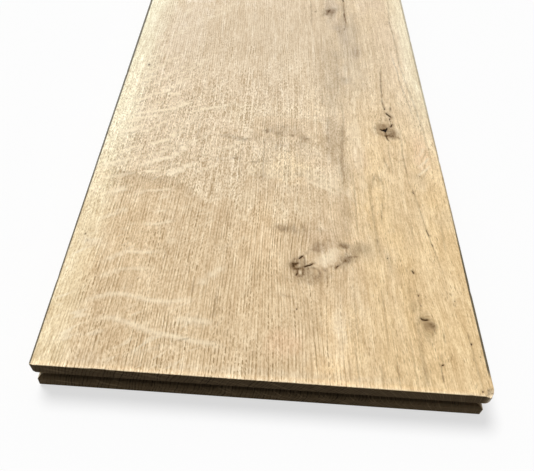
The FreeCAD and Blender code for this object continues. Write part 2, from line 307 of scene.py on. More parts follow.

# Stretches of wood that are lighter, darker or of another hue: across, along, half width, half length, turn,
# and what their red, green and blue are multiplied by. Those far along on the left that turn bluish-white are
# painted sheen
TINTS = [
    (33, 22, 15, 32, 0, (1.15, 1.15, 1.13)), (67, 60, 8, 44, 0, (0.93, 0.93, 0.96)),
    (36, 171, 12, 31, 0, (0.88, 0.84, 0.79)), (56, 166, 7, 20, 0, (0.92, 0.89, 0.9)),
    (9, 153, 14, 17, 0, (1.11, 1.11, 1.08)), (22, 212, 24, 10, 0, (1.14, 1.16, 1.18)),
    (58, 300, 13, 85, 0, (0.86, 0.87, 0.9)), (53, 325, 6, 38, 0, (0.91, 0.91, 0.93)),
    (62, 294, 6, 12, 0, (0.9, 0.89, 0.91)), (50, 266, 7, 22, 0, (0.91, 0.91, 0.92)),
    (42, 239, 10, 11, 0, (0.94, 0.93, 0.92)), (75, 301, 6, 24, 0, (0.95, 0.95, 0.95)),
    (36, 285, 7, 50, 0, (1.09, 1.1, 1.11)), (95, 268, 9, 40, 0, (1.13, 1.15, 1.18)),
    # painted sheen: the two bluish-white stretches far along on the left
    (-72, 470, 44, 135, 0, (1.13, 1.18, 1.29)), (-20, 465, 52, 125, 0, (1.05, 1.07, 1.13)),
    (78, 430, 22, 74, 0, (0.93, 0.93, 1)), (82, 138, 18, 60, 0, (1, 1.03, 1.11)),
    (-78, 92, 20, 44, 0, (1.06, 1.06, 1.05)), (-6, 90, 18, 40, 0, (1.08, 1.08, 1.08)),
    (8, 22, 11, 11, 0, (1.03, 0.97, 0.97)), (-80, 212, 12, 22, 0, (1.07, 1.08, 1.09)),
    (31, 87, 16, 27, 0, (0.91, 0.9, 0.92)), (57, 88, 8, 15, 0, (0.86, 0.86, 0.88)),
    # painted sheen: the second stretch here, bluish-white on the left
    (45, 236, 12, 26, 0, (0.94, 0.95, 0.96)), (-74, 300, 20, 95, 0, (1.05, 1.07, 1.11)),
    (32, 6, 16, 10, 0, (1.11, 1.1, 1.06)), (104, 117, 8, 14, 0, (0.9, 0.9, 0.92)),
    (-10, 176, 16, 14, 0, (0.96, 0.95, 0.94)), (90, 66, 22, 26, 0, (0.97, 0.97, 0.98)),
    (-82, 4, 9, 8, 0, (0.92, 0.92, 0.93)), (44, 24, 8, 34, 0, (1.06, 1.06, 1.03)),
    (90, 315, 16, 60, 0, (1.05, 1.06, 1.1)), (-84, 366, 14, 50, 0, (1.06, 1.08, 1.09)),
    (25, 224, 7, 24, 0, (1.08, 1.09, 1.09)), (-95, 62, 8, 20, 0, (1.06, 1.06, 1.06)),
    (-2, 108, 12, 13, 0, (1.05, 1.05, 1.04)), (12, 148, 16, 14, 0, (1.14, 1.13, 1.08)),
    (66, 146, 7, 11, 0, (0.94, 0.95, 0.97)), (95, 147, 9, 11, 0, (0.93, 0.93, 0.94)),
    (88, 200, 13, 15, 0, (1.05, 1.06, 1.07)), (-22, 204, 12, 20, 0, (1.06, 1.08, 1.08)),
    (45, 365, 8, 45, 0, (0.88, 0.89, 0.94)), (25, 177, 7, 15, 0, (0.92, 0.9, 0.87)),
    (35, 151, 7, 12, 0, (0.97, 0.92, 0.88)), (45, 138, 6, 9, 0, (0.96, 0.92, 0.86)),
    (-95, 183, 8, 10, 0, (0.93, 0.9, 0.86)), (-104, 131, 6, 13, 0, (0.95, 0.91, 0.87)),
    (25, 157, 6, 9, 0, (1.08, 1.06, 1.04)), (55, 122, 5, 17, 0, (1.08, 1.08, 1.05)),
    (98, 176, 7, 24, 0, (1, 0.96, 0.97)), (-103, 20, 7, 22, 0, (1.05, 1.06, 1.08)),
    (-8, 42, 18, 10, 0, (1.05, 1.05, 1.05)),
]

# Ray flecks, the pale ripples that cross the grain: the points, the half width, and how pale
FLECKS = [
    ([(-90, 25), (-84, 28), (-77, 29), (-67, 26), (-56, 21.9), (-46, 20.9), (-36, 18.7), (-25, 18),
        (-18, 12)], 1.4, 0.55),
    ([(-96, 36), (-88, 40.2), (-81, 43.4), (-73, 43.8), (-62, 41), (-51, 40.8), (-42, 43.2),
        (-35, 42.6)], 1.2, 0.55),
    ([(-92, 51), (-84, 57), (-77, 60.1), (-68, 61), (-61, 62)], 1.1, 0.4),
    ([(-92, 61), (-85, 67.1), (-78, 72), (-69, 72.1), (-59, 74.1)], 1.1, 0.6),
    ([(-58, 76), (-54, 84), (-50, 90)], 1, 0.3), ([(-38, 51), (-32, 60), (-23, 69.2)], 1.3, 0.55),
    ([(-74, 93), (-65, 93.6), (-56, 97.6)], 0.9, 0.6), ([(-99, 93), (-90, 99.4), (-82, 105.2)], 1.1, 0.5),
    ([(-100, 114), (-93, 118), (-85, 125)], 1.1, 0.6),
    ([(-84, 115), (-76, 120), (-68, 121), (-58, 124)], 0.9, 0.55),
    ([(-85, 85), (-80, 91), (-76, 94)], 0.9, 0.3), ([(-48, 31), (-38, 31.2), (-26, 30)], 1.9, 0.4),
    ([(-30, 77), (-20, 84), (-12, 91)], 1, 0.25), ([(-108, 139), (-100, 142), (-94, 146)], 1.2, 0.8),
    ([(-87, 136), (-82, 142), (-76, 147), (-66, 151), (-61, 156), (-59, 161), (-55, 168), (-50, 173)], 1.3, 1),
    ([(-67, 134), (-59, 139), (-55, 144), (-50, 148)], 1.4, 1), ([(-80, 136), (-75, 137), (-70, 138)], 1.1, 1),
    ([(-83, 160), (-77, 164), (-69, 169), (-64, 177), (-61, 181)], 1.2, 1),
    ([(-107, 134), (-103, 136), (-99, 140), (-92, 144)], 1.2, 0.45),
    ([(-98, 173), (-93, 175), (-90, 178)], 1.2, 1), ([(-97, 181), (-89, 189), (-76, 195)], 1.2, 0.8),
    ([(-94, 116), (-90, 119), (-86, 121)], 1, 0.9), ([(-78, 216), (-74, 219), (-66, 218)], 1.2, 0.8),
    ([(-104, 127), (-92, 132), (-84, 135)], 1.1, 0.6), ([(-90, 171), (-80, 180), (-70, 191)], 1.2, 0.7),
    ([(-106, 167), (-96, 175), (-87, 183)], 1.2, 0.7),
    ([(-102, 189), (-88, 195), (-74, 200), (-64, 207), (-57, 216)], 1.2, 0.9),
    ([(-86, 215), (-78, 221), (-72, 230), (-66, 242)], 1.2, 0.8),
    ([(-104, 204), (-92, 210), (-84, 220)], 1.2, 0.85),
    ([(-62, 197), (-50, 204), (-38, 209), (-28, 215)], 1.2, 0.7),
    ([(-38, 161), (-28, 167), (-20, 177), (-14, 187)], 1.1, 0.6),
    ([(-98, 238), (-88, 248), (-82, 260), (-74, 268)], 1.2, 0.7),
    ([(-70, 246), (-60, 256), (-52, 270)], 1.2, 0.6), ([(-104, 224), (-95, 232), (-88, 240)], 1.1, 0.6),
    ([(-100, 260), (-90, 268), (-84, 278)], 1.1, 0.5), ([(-96, 284), (-84, 294), (-76, 308)], 1.3, 0.45),
    ([(-62, 325), (-50, 335), (-38, 349)], 1.6, 0.5), ([(-58, 339), (-46, 347), (-36, 359)], 1.4, 0.45),
    ([(18, 141), (26, 138), (36, 132), (44, 128)], 1.2, 0.5), ([(-100, 151), (-92, 157), (-84, 161)], 1, 0.7),
    ([(-74, 159), (-66, 163), (-58, 171)], 0.9, 0.6), ([(-70, 7), (-58, 12), (-50, 15), (-40, 14)], 1.2, 0.25),
    ([(-106, 11), (-96, 17), (-88, 19)], 1.1, 0.25), ([(94, 161), (99, 167), (104, 173)], 0.7, 0.8),
    ([(93, 153), (98, 159), (103, 165)], 0.7, 0.7), ([(95, 171), (99, 177), (102, 183)], 0.7, 0.6),
    ([(-82, 149), (-74, 154), (-67, 159), (-62, 167)], 1, 0.6),
    ([(-96, 143), (-88, 148), (-82, 151)], 0.9, 0.6), ([(-104, 177), (-96, 185), (-90, 193)], 1, 0.7),
    ([(-80, 189), (-72, 199), (-64, 214)], 1, 0.55), ([(-68, 177), (-60, 187), (-52, 199)], 1, 0.5),
    ([(-56, 165), (-48, 173), (-42, 183)], 0.9, 0.5), ([(-96, 197), (-86, 203), (-78, 212)], 0.9, 0.6),
    ([(-92, 224), (-84, 232), (-76, 246)], 1, 0.6), ([(-80, 238), (-72, 250), (-66, 260)], 0.9, 0.5),
    ([(-106, 242), (-98, 252), (-92, 264)], 1, 0.5), ([(-50, 137), (-42, 144), (-36, 149)], 0.9, 0.6),
    ([(-72, 139), (-64, 144), (-58, 149)], 0.8, 0.5),
]

# The wavy border of the browner figure: below this line (across, along) the wood is browner
FIGURE_BORDER = [
    (-110, 138), (-98, 136), (-88, 135), (-80, 133), (-70, 132), (-61, 133), (-55, 128), (-48, 123), (-43, 116),
    (-38, 114), (-33, 117), (-28, 120), (-23, 116), (-19, 103), (-12, 100), (-6, 101), (0, 99), (8, 102),
    (14, 100), (22, 104), (30, 113), (38, 123), (46, 129), (56, 121), (110, 111),
]
# A second step of the same figure, in the middle of the board
SECOND_BORDER = [
    (-110, 91), (-20, 91), (-17, 140), (-10, 141), (-4, 139), (3, 141), (8, 138), (12, 139), (15, 144),
    (21, 143), (28, 139), (36, 135), (44, 130), (52, 121), (60, 91), (110, 91),
]
# A third, further along: the wood is browner below it too, down to 176
THIRD_BORDER = [
    (-110, 161), (-17, 161), (-14, 201), (-4, 203), (8, 202), (20, 203), (32, 201), (35, 161), (110, 161),
]

# Knots that the grain flows round: across, along, half width, half length, how hard the grain is pushed
KNOTS = [
    (28.1, 76.6, 16, 12, 0.45), (76.9, 198, 6, 9, 0.8), (42.5, 356.6, 5, 8, 1), (82.9, 39.5, 5, 6, 0.9),
    (65.9, 148.8, 3.5, 9, 0.5), (103.8, 168.8, 6, 12, 0.5),
]

# The unseen rest of the board carries on in the same way: its knots (across, along, size), and how many
# specks, long clouds, flecks and brown lines it has
FAR_KNOTS = [
    (-46, 548, 6), (58, 742, 4), (20, 1010, 8), (-72, 1236, 4.5), (70, 1392, 6), (-18, 1655, 5), (48, 1868, 7),
    (-60, 2040, 4),
]
FAR_DOTS, FAR_CLOUDS, FAR_FLECKS, FAR_LINES = 26, 26, 110, 40


def bent_line(across, along, run, heading, bend):
    """A few points along a line that starts at a place and curves as it goes."""
    points = [(across, along)]
    steps = 4
    for k in range(1, steps):
        angle = heading + bend * k / steps
        across += run / steps * math.cos(angle)
        along += run / steps * math.sin(angle)
        points.append((across, along))
    return points


def far_knot(across, along, size):
    """A knot with its haze, its pale side, the cracks in it, the lines round it and a long check beyond it."""
    KNOTS.append((across, along, size * 1.4, size * 1.5, 1.0))
    turn = rng.uniform(-40, 40)
    for wide, high, strength in ((0.5, 0.45, 0.70), (1.1, 1.0, 0.34), (2.2, 2.6, 0.16)):
        HAZES.append((across, along, size * wide, size * high, turn, strength))
    PALES.append((across + size * 0.9, along + size * 0.4, size * 0.9, size * 0.5, turn, 0.6))
    for _ in range(2):
        run = size * rng.uniform(0.5, 0.9)
        line = bent_line(across, along, run, rng.uniform(0, 2 * math.pi), rng.uniform(-1.2, 1.2))
        CRACKS.append((line, rng.uniform(0.8, 1.4), rng.uniform(0.7, 1.0)))
    for _ in range(5):
        angle = rng.uniform(0, 2 * math.pi)
        start_x, start_y = across + size * math.cos(angle), along + size * math.sin(angle)
        line = bent_line(start_x, start_y, size * rng.uniform(0.6, 1.6), angle + rng.uniform(1, 2), 1.0)
        SMUDGES.append((line, rng.uniform(0.5, 1.2), rng.uniform(0.25, 0.55)))
    start = along + size * rng.uniform(1.0, 1.6)
    side = across + rng.uniform(-2, 2)
    run = rng.uniform(30, 70)
    SMUDGES.append(([(side, start), (side + 0.8, start + run / 2), (side + 1.2, start + run)], 0.5, 0.42))
    CRACKS.append(([(side, start), (side + 0.4, start + run / 4)], 0.7, 0.6))


def far_features():
    """The knots of the unseen rest of the board, and what is scattered between them."""
    for knot in FAR_KNOTS:
        far_knot(*knot)
    for _ in range(FAR_DOTS):
        across, along = rng.uniform(-106, 106), rng.uniform(420, LENGTH - 10)
        DOTS.append((across, along, rng.uniform(0.4, 0.9), rng.uniform(0.3, 0.8)))
    for _ in range(FAR_CLOUDS):
        across, along = rng.uniform(-90, 100), rng.uniform(430, LENGTH)
        HAZES.append((across, along, rng.uniform(4, 12), rng.uniform(25, 90), 0, 0.10))
        across, along = rng.uniform(-90, 100), rng.uniform(430, LENGTH)
        PALES.append((across, along, rng.uniform(4, 14), rng.uniform(30, 110), 0, 0.30))
    for _ in range(FAR_FLECKS):
        across, along = rng.uniform(-106, 0), rng.uniform(410, LENGTH - 10)
        line = bent_line(across, along, rng.uniform(12, 42), rng.uniform(0.1, 0.9), rng.uniform(-0.4, 0.5))
        FLECKS.append((line, rng.uniform(0.9, 1.5), rng.uniform(0.35, 0.9)))
    for _ in range(FAR_LINES):
        across, along, run = rng.uniform(20, 104), rng.uniform(400, LENGTH - 90), rng.uniform(30, 90)
        line = bent_line(across, along, run, math.pi / 2, rng.uniform(-0.06, 0.06))
        SMUDGES.append((line, 0.5, rng.uniform(0.15, 0.3)))


far_features()


def from_line(x, y, points):
    """How far each place is from a line of points, which way (two parts), and how far along the line that is."""
    points = np.asarray(points, float)
    steps = np.diff(points, axis=0)
    lengths = np.hypot(*steps.T)
    done = np.concatenate([[0], np.cumsum(lengths)])
    best = np.full(np.shape(x), np.inf)
    away_x, away_y, share = (np.zeros(np.shape(x)) for _ in range(3))
    for start, step, length, before in zip(points[:-1], steps, lengths, done[:-1], strict=True):
        t = np.clip(((x - start[0]) * step[0] + (y - start[1]) * step[1]) / length**2, 0, 1)
        dx, dy = x - start[0] - t * step[0], y - start[1] - t * step[1]
        away = np.hypot(dx, dy)
        nearer = away < best
        best = np.where(nearer, away, best)
        away_x, away_y = np.where(nearer, dx, away_x), np.where(nearer, dy, away_y)
        share = np.where(nearer, (before + t * length) / done[-1], share)
    return best, away_x, away_y, share


def near(x, y, points, reach):
    """The places that could lie within reach of a line of points."""
    points = np.asarray(points, float)
    (x0, y0), (x1, y1) = points.min(0) - reach, points.max(0) + reach
    return np.nonzero((x > x0) & (x < x1) & (y > y0) & (y < y1))[0]


def near_blob(x, y, blob):
    """The places that a blob with ragged edges could cover."""
    return near(x, y, [blob[:2]], 1.6 * max(blob[2], blob[3]))


def in_blob(x, y, blob):
    """1 in the middle of a soft ellipse with ragged edges, 0 outside it."""
    across, along, half_width, half_length, turn = blob[:5]
    c, s = math.cos(math.radians(turn)), math.sin(math.radians(turn))
    u, v = x - across, y - along
    p, q = (u * c + v * s) / half_width, (v * c - u * s) / half_length
    rag = min(5.0, 0.6 * half_width + 0.8)
    ragged = 0.7 * (noise(x / rag, y / (1.7 * rag), 1, 3) - 0.5)
    return np.clip(1.1 - np.sqrt(p * p + q * q) + ragged, 0, 1)


def borders(x, y):
    """How far beyond the three wavy borders of the figure each place is."""
    rough = 3.0 * (noise(x / 2.6, y / 9.0, 5, 3) - 0.5)
    lines = (FIGURE_BORDER, SECOND_BORDER, THIRD_BORDER)
    return [y - np.interp(x, *np.transpose(line)) - rough for line in lines]


def tapered(share):
    """1 along most of a line, falling to 0 at its two ends."""
    return smoothstep(0, 0.2, share) * (1 - smoothstep(0.8, 1, share))


def painted(x, y):
    """Crack, haze, pale and fleck, each from 0 to 1, at places on the face."""
    crack, haze, pale, fleck, soft = (np.zeros(len(x)) for _ in range(5))
    wobble_x = x + 0.8 * (noise(x / 1.9, y / 2.4, 2, 2) - 0.5)
    wobble_y = y + 0.8 * (noise(x / 2.4, y / 1.9, 3, 2) - 0.5)
    patchy = 0.55 + 0.9 * noise(x / 1.1, y / 1.6, 4, 2)
    for points, width, dark in CRACKS:
        at = near(x, y, points, width + 2)
        away, _, _, share = from_line(wobble_x[at], wobble_y[at], points)
        half = 0.5 * width * (0.45 + 0.55 * np.sqrt(np.clip(4 * share * (1 - share), 0, 1)))
        half = half * (0.65 + 0.7 * noise(x[at] / 1.3, y[at] / 1.3, 4))
        crack[at] = np.maximum(crack[at], dark * (1 - smoothstep(0.4 * half, half + 0.35, away)))
        haze[at] = np.maximum(haze[at], 0.5 * dark * bell(away, 0.5 * width + 0.7))
    for points, half, strength in SMUDGES:
        at = near(x, y, points, 2.2 * half + 1)
        away, _, _, share = from_line(wobble_x[at], wobble_y[at], points)
        ends = 0.35 + 0.65 * tapered(share)
        shade = 1.35 * strength * ends * bell(away, half) * patchy[at]
        haze[at] = laid_over(haze[at], np.clip(shade, 0, 1))
    for across, along, radius, dark in DOTS:
        at = near(x, y, [(across, along)], radius * 3 + 1)
        away = np.hypot(wobble_x[at] - across, 0.65 * (wobble_y[at] - along))
        crack[at] = np.maximum(crack[at], dark * (1 - smoothstep(0.1 * radius, 1.1 * radius, away)))
        haze[at] = np.maximum(haze[at], 0.4 * dark * bell(away, 1.6 * radius))
    for blobs, into, gain in ((HAZES, soft, 1.5), (PALES, pale, 1.2)):
        for blob in blobs:
            at = near_blob(x, y, blob)
            shade = np.minimum(gain * blob[5], 0.95) * smoothstep(0, 0.95, in_blob(x[at], y[at], blob))
            into[at] = laid_over(into[at], shade)
    haze = laid_over(haze, soft * (1 - 0.8 * pale))
    for points, half, light in FLECKS:
        at = near(x, y, points, half * 3)
        bent_x = x[at] + 1.2 * (noise(x[at] / 7, y[at] / 7, 6) - 0.5)
        away, _, away_y, share = from_line(bent_x, y[at], points)
        light = light * tapered(share)
        # pale, with a thin painted shade along its lower side, put into the haze
        fleck[at] = np.maximum(fleck[at], light * bell(away, half))
        lower = light * bell(away_y + 2.0 * half, 0.8 * half) * (away < 3 * half)
        haze[at] = np.maximum(haze[at], 0.07 * lower)
    # the figure's borders: brown under the first one on the left, and a pale fringe over part of each
    beyond = borders(x, y)
    lip = smoothstep(1.5, -1.5, beyond[0]) * np.exp(np.minimum(beyond[0], 0) / 5.0) * smoothstep(-102, -92, x)
    lip = lip * (1 - smoothstep(-56, -30, x)) * (0.4 + 1.2 * noise(x / 6, y / 4, 5, 3))
    haze = laid_over(haze, 0.20 * lip)
    fringes = ((-98, -14, 10, 0.5), (-17, 50, 17, 0.9), (-15, 32, 9, 0.5))
    for over, (left, right, fade, light) in zip(beyond, fringes, strict=True):
        fringe = smoothstep(-1.2, 1.2, over) * np.exp(-np.maximum(over, 0) / fade)
        fringe = fringe * smoothstep(left - 4, left + 4, x) * smoothstep(right + 6, right - 6, x)
        pale = np.maximum(pale, light * fringe * (0.7 + 0.6 * noise(x / 2.2, y / 9, 6, 2)))
    # a painted highlight along the near edge of the face
    painted_arris_highlight = bell(y, 1.1) * (0.5 + 0.5 * noise(x / 8, 0 * y, 3))
    return crack, haze, np.maximum(pale, painted_arris_highlight), fleck


def figure(x, y):
    """How much browner the wood is, from its wavy figure: drawn near the photographed end, free beyond it."""
    first, second, third = borders(x, y)
    brown = smoothstep(1.4, -1.4, first) * (0.40 + 0.60 * smoothstep(20, 110, y))
    brown = np.maximum(brown, 0.60 * smoothstep(1.2, -1.2, second) * smoothstep(88, 100, y))
    brown = np.maximum(brown, 0.65 * smoothstep(1, -1, third) * smoothstep(170, 186, y))
    free = smoothstep(0.50, 0.54, noise(x / 46.0 + 3.1, y / 120.0 + 7.7, 6, 4))
    beyond = smoothstep(360, 470, y)
    brown = brown * (1 - beyond) + free * beyond
    return brown * smoothstep(-101, -93, x + 5 * noise(x / 9, y / 26, 7)) * (1 - smoothstep(42, 56, x))


def in_knot(x, y):
    """1 in the middle of a knot, 0 away from all of them."""
    share = np.zeros(len(x))
    for across, along, half_width, half_length, _ in KNOTS:
        rho = ((x - across) / (0.8 * half_width)) ** 2 + ((y - along) / (0.8 * half_length)) ** 2
        share = np.maximum(share, np.exp(-np.minimum(rho, 20) ** 2))
    return share


def mixed(share, a, b):
    """Colours part of the way from a to b, one for each place."""
    return a + (np.asarray(b) - a) * np.asarray(share)[:, None]


def drifting(x, y):
    """How far the wood's zones are shifted along the board at each place."""
    return 22 * (noise(x / 25, y / 90, 3, 2) - 0.5)


def golden(x, y):
    """How golden the wood is: on the right near the photographed end, and in stretches beyond it."""
    gold = smoothstep(34, 66, x + 10 * (noise(x / 8, y / 60, 5, 2) - 0.5))
    gold = gold * (1 - 0.8 * smoothstep(120, 260, y + drifting(x, y)))
    far_gold = 0.6 * smoothstep(0.52, 0.7, noise(x / 60 + 9.3, y / 240 + 2.2, 4, 2))
    beyond = smoothstep(380, 520, y)
    return gold * (1 - beyond) + far_gold * beyond


def base_colour(x, y):
    """How creamy the wood is, as it is along its edges, and its colour without grain."""
    drift = drifting(x, y)
    beyond = smoothstep(380, 520, y)
    warm = 1 - smoothstep(40, 200, y + drift)
    warm = warm * (1 - beyond) + 0.5 * noise(x / 70 + 1.7, y / 260 + 8.1, 2, 2) * beyond
    far_dull = 0.8 * noise(x / 50 + 4.1, y / 300 + 1.3, 1, 2)
    dull = smoothstep(18, 38, x + drift / 3) * smoothstep(120, 190, y) * (1 - beyond) + far_dull * beyond
    left = smoothstep(-86, -105, x + 8 * (noise(x / 7, y / 40, 1, 2) - 0.5))
    left = left * (0.55 + 0.45 * smoothstep(70, 210, y))
    right = smoothstep(92, 106, x + 6 * (noise(x / 7, y / 40, 2, 2) - 0.5)) * smoothstep(165, 250, y) * 0.6
    lasting = 1 - 0.7 * smoothstep(0.45, 0.6, noise(0 * x + 4.4, y / 330, 7, 2)) * beyond
    cream = np.maximum(left, right) * lasting
    colour = mixed(warm, np.tile(PLAIN, (len(x), 1)), WARM)
    colour = mixed(dull, colour, DULL)
    colour = mixed(golden(x, y), colour, GOLD)
    colour = mixed(0.48 * figure(x, y), colour, BROWN)
    creamy = mixed(smoothstep(80, 190, y), np.tile(BUTTER, (len(x), 1)), CREAM)
    colour = mixed(cream, colour, creamy)
    waves = 0.05 * bell(y - 205, 55) + 0.04 * bell(y - 390, 30)
    colour = colour * (1 + waves - 0.03 * bell(y - 300, 40))[:, None]
    for blob in TINTS:
        at = near_blob(x, y, blob)
        share = smoothstep(0, 0.8, in_blob(x[at], y[at], blob))
        colour[at] *= 1 + (np.array(blob[5]) - 1) * share[:, None]
    return cream, colour


# Where the pith line lies, from the board's middle line and its underside
PITH_ACROSS, PITH_HEIGHT = 106, -34


def grain(x, y, z):
    """Place in the tree: across and above its pith line, in millimetres, with the fibres bent round each knot."""
    gx, gy = x.copy(), y.copy()
    for across, along, half_width, half_length, push in KNOTS:
        u, v = x - across, y - along
        rho = (u / half_width) ** 2 + (v / (1.9 * half_length)) ** 2
        gx -= push * u / (1 + rho**1.5)
        gy -= 0.25 * push * v / (1 + rho)
    gx += 2.2 * (noise(x / 60, y / 190, 0, 2) - 0.5) + 0.9 * (noise(x / 16, y / 60, 1, 2) - 0.5)
    # the fibres lean a little to the right on the left of the board, and to the left near its right corner
    lean = 0.020 * np.minimum(y, 220) * (1 - smoothstep(-30, 30, x))
    lean = lean - 0.055 * np.minimum(y, 110) * smoothstep(-20, 70, x)
    pith_x = PITH_ACROSS + lean + 16 * (noise(y / 310, 0 * y, 2) - 0.5) * smoothstep(300, 500, y)
    pith_z = PITH_HEIGHT + 9 * (noise(y / 260, 0 * y + 5, 3) - 0.5)
    return gx - pith_x, gy, z - pith_z


# ---- The face, as rectangles that are small where it shows detail ----

COLUMNS, ROWS = 7, 70
COARSE = 1 << 7  # ticks to a coarse cell, which can be halved seven times each way
TICKS_X, TICKS_Y = COLUMNS * COARSE, ROWS * COARSE
LARGEST, BROAD, NARROW, MEDIUM, SMALL, FINEST = 16.0, 4.0, 2.1, 1.05, 0.55, 0.28

# The near right corner of the upper lip is knocked round and crushed down, and the left one is cut back a
# little, above all at its foot: the radius at each of the lip's rows, from the top down
BRUISE = 3.6
CRUSHED = 2.0
RIGHT_KNOCK = (BRUISE, BRUISE, BRUISE, BRUISE, 0.8 * BRUISE)
LEFT_KNOCK = (1.1, 1.2, 1.4, 2.8, 3.2)
LIP_ROWS = len(LEFT_KNOCK)


def wanted_size(x, y, half_x, half_y, fine):
    """How wide and how long cells of the face may be, for what they show.

    half_x and half_y are the cells' half sizes as they are, and fine asks for more than the knots' surroundings.
    """
    width, length = np.full(len(x), LARGEST), np.full(len(x), LARGEST)

    def refine(at, widest, longest=LARGEST):
        width[at] = np.minimum(width[at], widest)
        length[at] = np.minimum(length[at], longest)

    def refine_knots(reach, size):
        for across, along, half_width, half_length, _ in KNOTS:
            gap = np.hypot(x - across, y - along) - np.hypot(half_x, half_y)
            refine(gap < reach * max(half_width, half_length), size, size)

    def close_to(points, reach):
        at = near(x, y, points, reach + LARGEST + 1)
        if not len(at):
            return at
        _, away_x, away_y, _ = from_line(x[at], y[at], points)
        return at[(np.abs(away_x) < half_x[at] + reach) & (np.abs(away_y) < half_y[at] + reach)]

    def detail(points, size):
        return size if points[0][1] < SHOWN_LENGTH else 2 * size

    if not fine:
        refine_knots(2.0, LARGEST / 2)
        return width, length
    shown = y - half_y < SHOWN_LENGTH
    refine(shown, BROAD, BROAD)
    refine(shown & (np.abs(np.abs(x) - 100) < half_x + 8), NARROW)
    for border, low, high in ((FIGURE_BORDER, 0, 145), (SECOND_BORDER, 92, 145), (THIRD_BORDER, 176, 206)):
        heights = np.stack([np.interp(x + part * half_x, *np.transpose(border)) for part in (-1, 0, 1)])
        beside = (y + half_y > heights.min(0) - 3) & (y - half_y < heights.max(0) + 3) & (x < 58)
        refine(beside & (y + half_y > low) & (y - half_y < high), NARROW, MEDIUM)
    refine_knots(1.6, NARROW)
    refine((x + half_x > HALF_WIDTH - 1.6 * BRUISE) & (y - half_y < 1.6 * BRUISE), SMALL, SMALL)
    for points, half, _ in FLECKS:
        refine(close_to(points, 1.5 * half), BROAD, MEDIUM)
    for across, along, half_width, half_length, turn, strength in HAZES + PALES:
        if min(half_width, half_length) < 12 and strength > 0.12:
            at = near(x, y, [(across, along)], 1.2 * max(half_width, half_length) + LARGEST + 1)
            c, s = abs(math.cos(math.radians(turn))), abs(math.sin(math.radians(turn)))
            reach_x = 1.1 * (half_width * c + half_length * s) + half_x[at]
            reach_y = 1.1 * (half_length * c + half_width * s) + half_y[at]
            inside = (np.abs(x[at] - across) < reach_x) & (np.abs(y[at] - along) < reach_y)
            refine(at[inside], max(SMALL, half_width / 4), max(SMALL, half_length / 4))
    for points, half, _ in SMUDGES:
        size = detail(points, SMALL)
        steep = abs(points[-1][1] - points[0][1]) > 3 * abs(points[-1][0] - points[0][0])
        refine(close_to(points, 1.2 * half), size, NARROW if steep else size)
    for points, crack_width, _ in CRACKS:
        for margin, size in ((0.9, SMALL), (0.2, FINEST)):
            refine(close_to(points, 0.5 * crack_width + margin), detail(points, size), detail(points, size))
    for across, along, radius, _ in DOTS:
        spot = [(across, along - 0.01), (across, along + 0.01)]
        refine(close_to(spot, 1.6 * radius), FINEST, SMALL)
    return width, length


def place(i, j):
    """Where a tick lies on the face inside the bevel: across, and along from the near end."""
    return -FACE_HALF_WIDTH + 2 * FACE_HALF_WIDTH * i / TICKS_X, FACE_BEVEL + FACE_LENGTH * j / TICKS_Y


def divided(fine):
    """Rectangles (left, right, low, high) in ticks that cover the face, small where it shows detail."""
    i, j = np.meshgrid(np.arange(COLUMNS), np.arange(ROWS), indexing="ij")
    i, j = i.ravel() * COARSE, j.ravel() * COARSE
    cells = np.stack([i, i + COARSE, j, j + COARSE], 1)
    done = []
    while len(cells):
        x0, y0 = place(cells[:, 0], cells[:, 2])
        x1, y1 = place(cells[:, 1], cells[:, 3])
        width, length = wanted_size((x0 + x1) / 2, (y0 + y1) / 2, (x1 - x0) / 2, (y1 - y0) / 2, fine)
        over_x = ((x1 - x0) / width > 1.05) & (cells[:, 1] - cells[:, 0] > 1)
        over_y = ((y1 - y0) / length > 1.05) & (cells[:, 3] - cells[:, 2] > 1)
        by_x = over_x & (~over_y | ((x1 - x0) / width >= (y1 - y0) / length))
        by_y = over_y & ~by_x
        done.append(cells[~by_x & ~by_y])
        a, b = cells[by_x], cells[by_y]
        mid_x, mid_y = (a[:, 0] + a[:, 1]) // 2, (b[:, 2] + b[:, 3]) // 2
        cells = np.concatenate([
            np.stack([a[:, 0], mid_x, a[:, 2], a[:, 3]], 1),
            np.stack([mid_x, a[:, 1], a[:, 2], a[:, 3]], 1),
            np.stack([b[:, 0], b[:, 1], b[:, 2], mid_y], 1),
            np.stack([b[:, 0], b[:, 1], mid_y, b[:, 3]], 1),
        ])
    return np.concatenate(done)


def sheet(cells, rim=()):
    """Corner ticks and faces of the rectangles, with no gap where large ones meet small ones.

    rim holds more ticks on the sheet's outline that its faces have to use.
    """
    corners = {(i, j) for a, b, c, d in cells.tolist() for i in (a, b) for j in (c, d)} | set(rim)
    ticks = sorted(corners)
    number = {tick: k for k, tick in enumerate(ticks)}
    in_column, in_row = {}, {}
    for i, j in ticks:
        in_column.setdefault(i, []).append(j)
        in_row.setdefault(j, []).append(i)

    def between(values, low, high):
        return values[bisect_right(values, low):bisect_left(values, high)]

    faces, middles = [], []
    for a, b, c, d in cells.tolist():
        ring = [(a, c)] + [(i, c) for i in between(in_row[c], a, b)]
        ring += [(b, c)] + [(b, j) for j in between(in_column[b], c, d)]
        ring += [(b, d)] + [(i, d) for i in reversed(between(in_row[d], a, b))]
        ring += [(a, d)] + [(a, j) for j in reversed(between(in_column[a], c, d))]
        ring = [number[t] for t in ring]
        if len(ring) == 4:
            faces.append(tuple(ring))
        else:
            middle = len(ticks) + len(middles)
            middles.append(((a + b) / 2, (c + d) / 2))
            faces += [(p, q, middle) for p, q in zip(ring, ring[1:] + ring[:1], strict=True)]
    return np.array(ticks + middles, float), faces, number


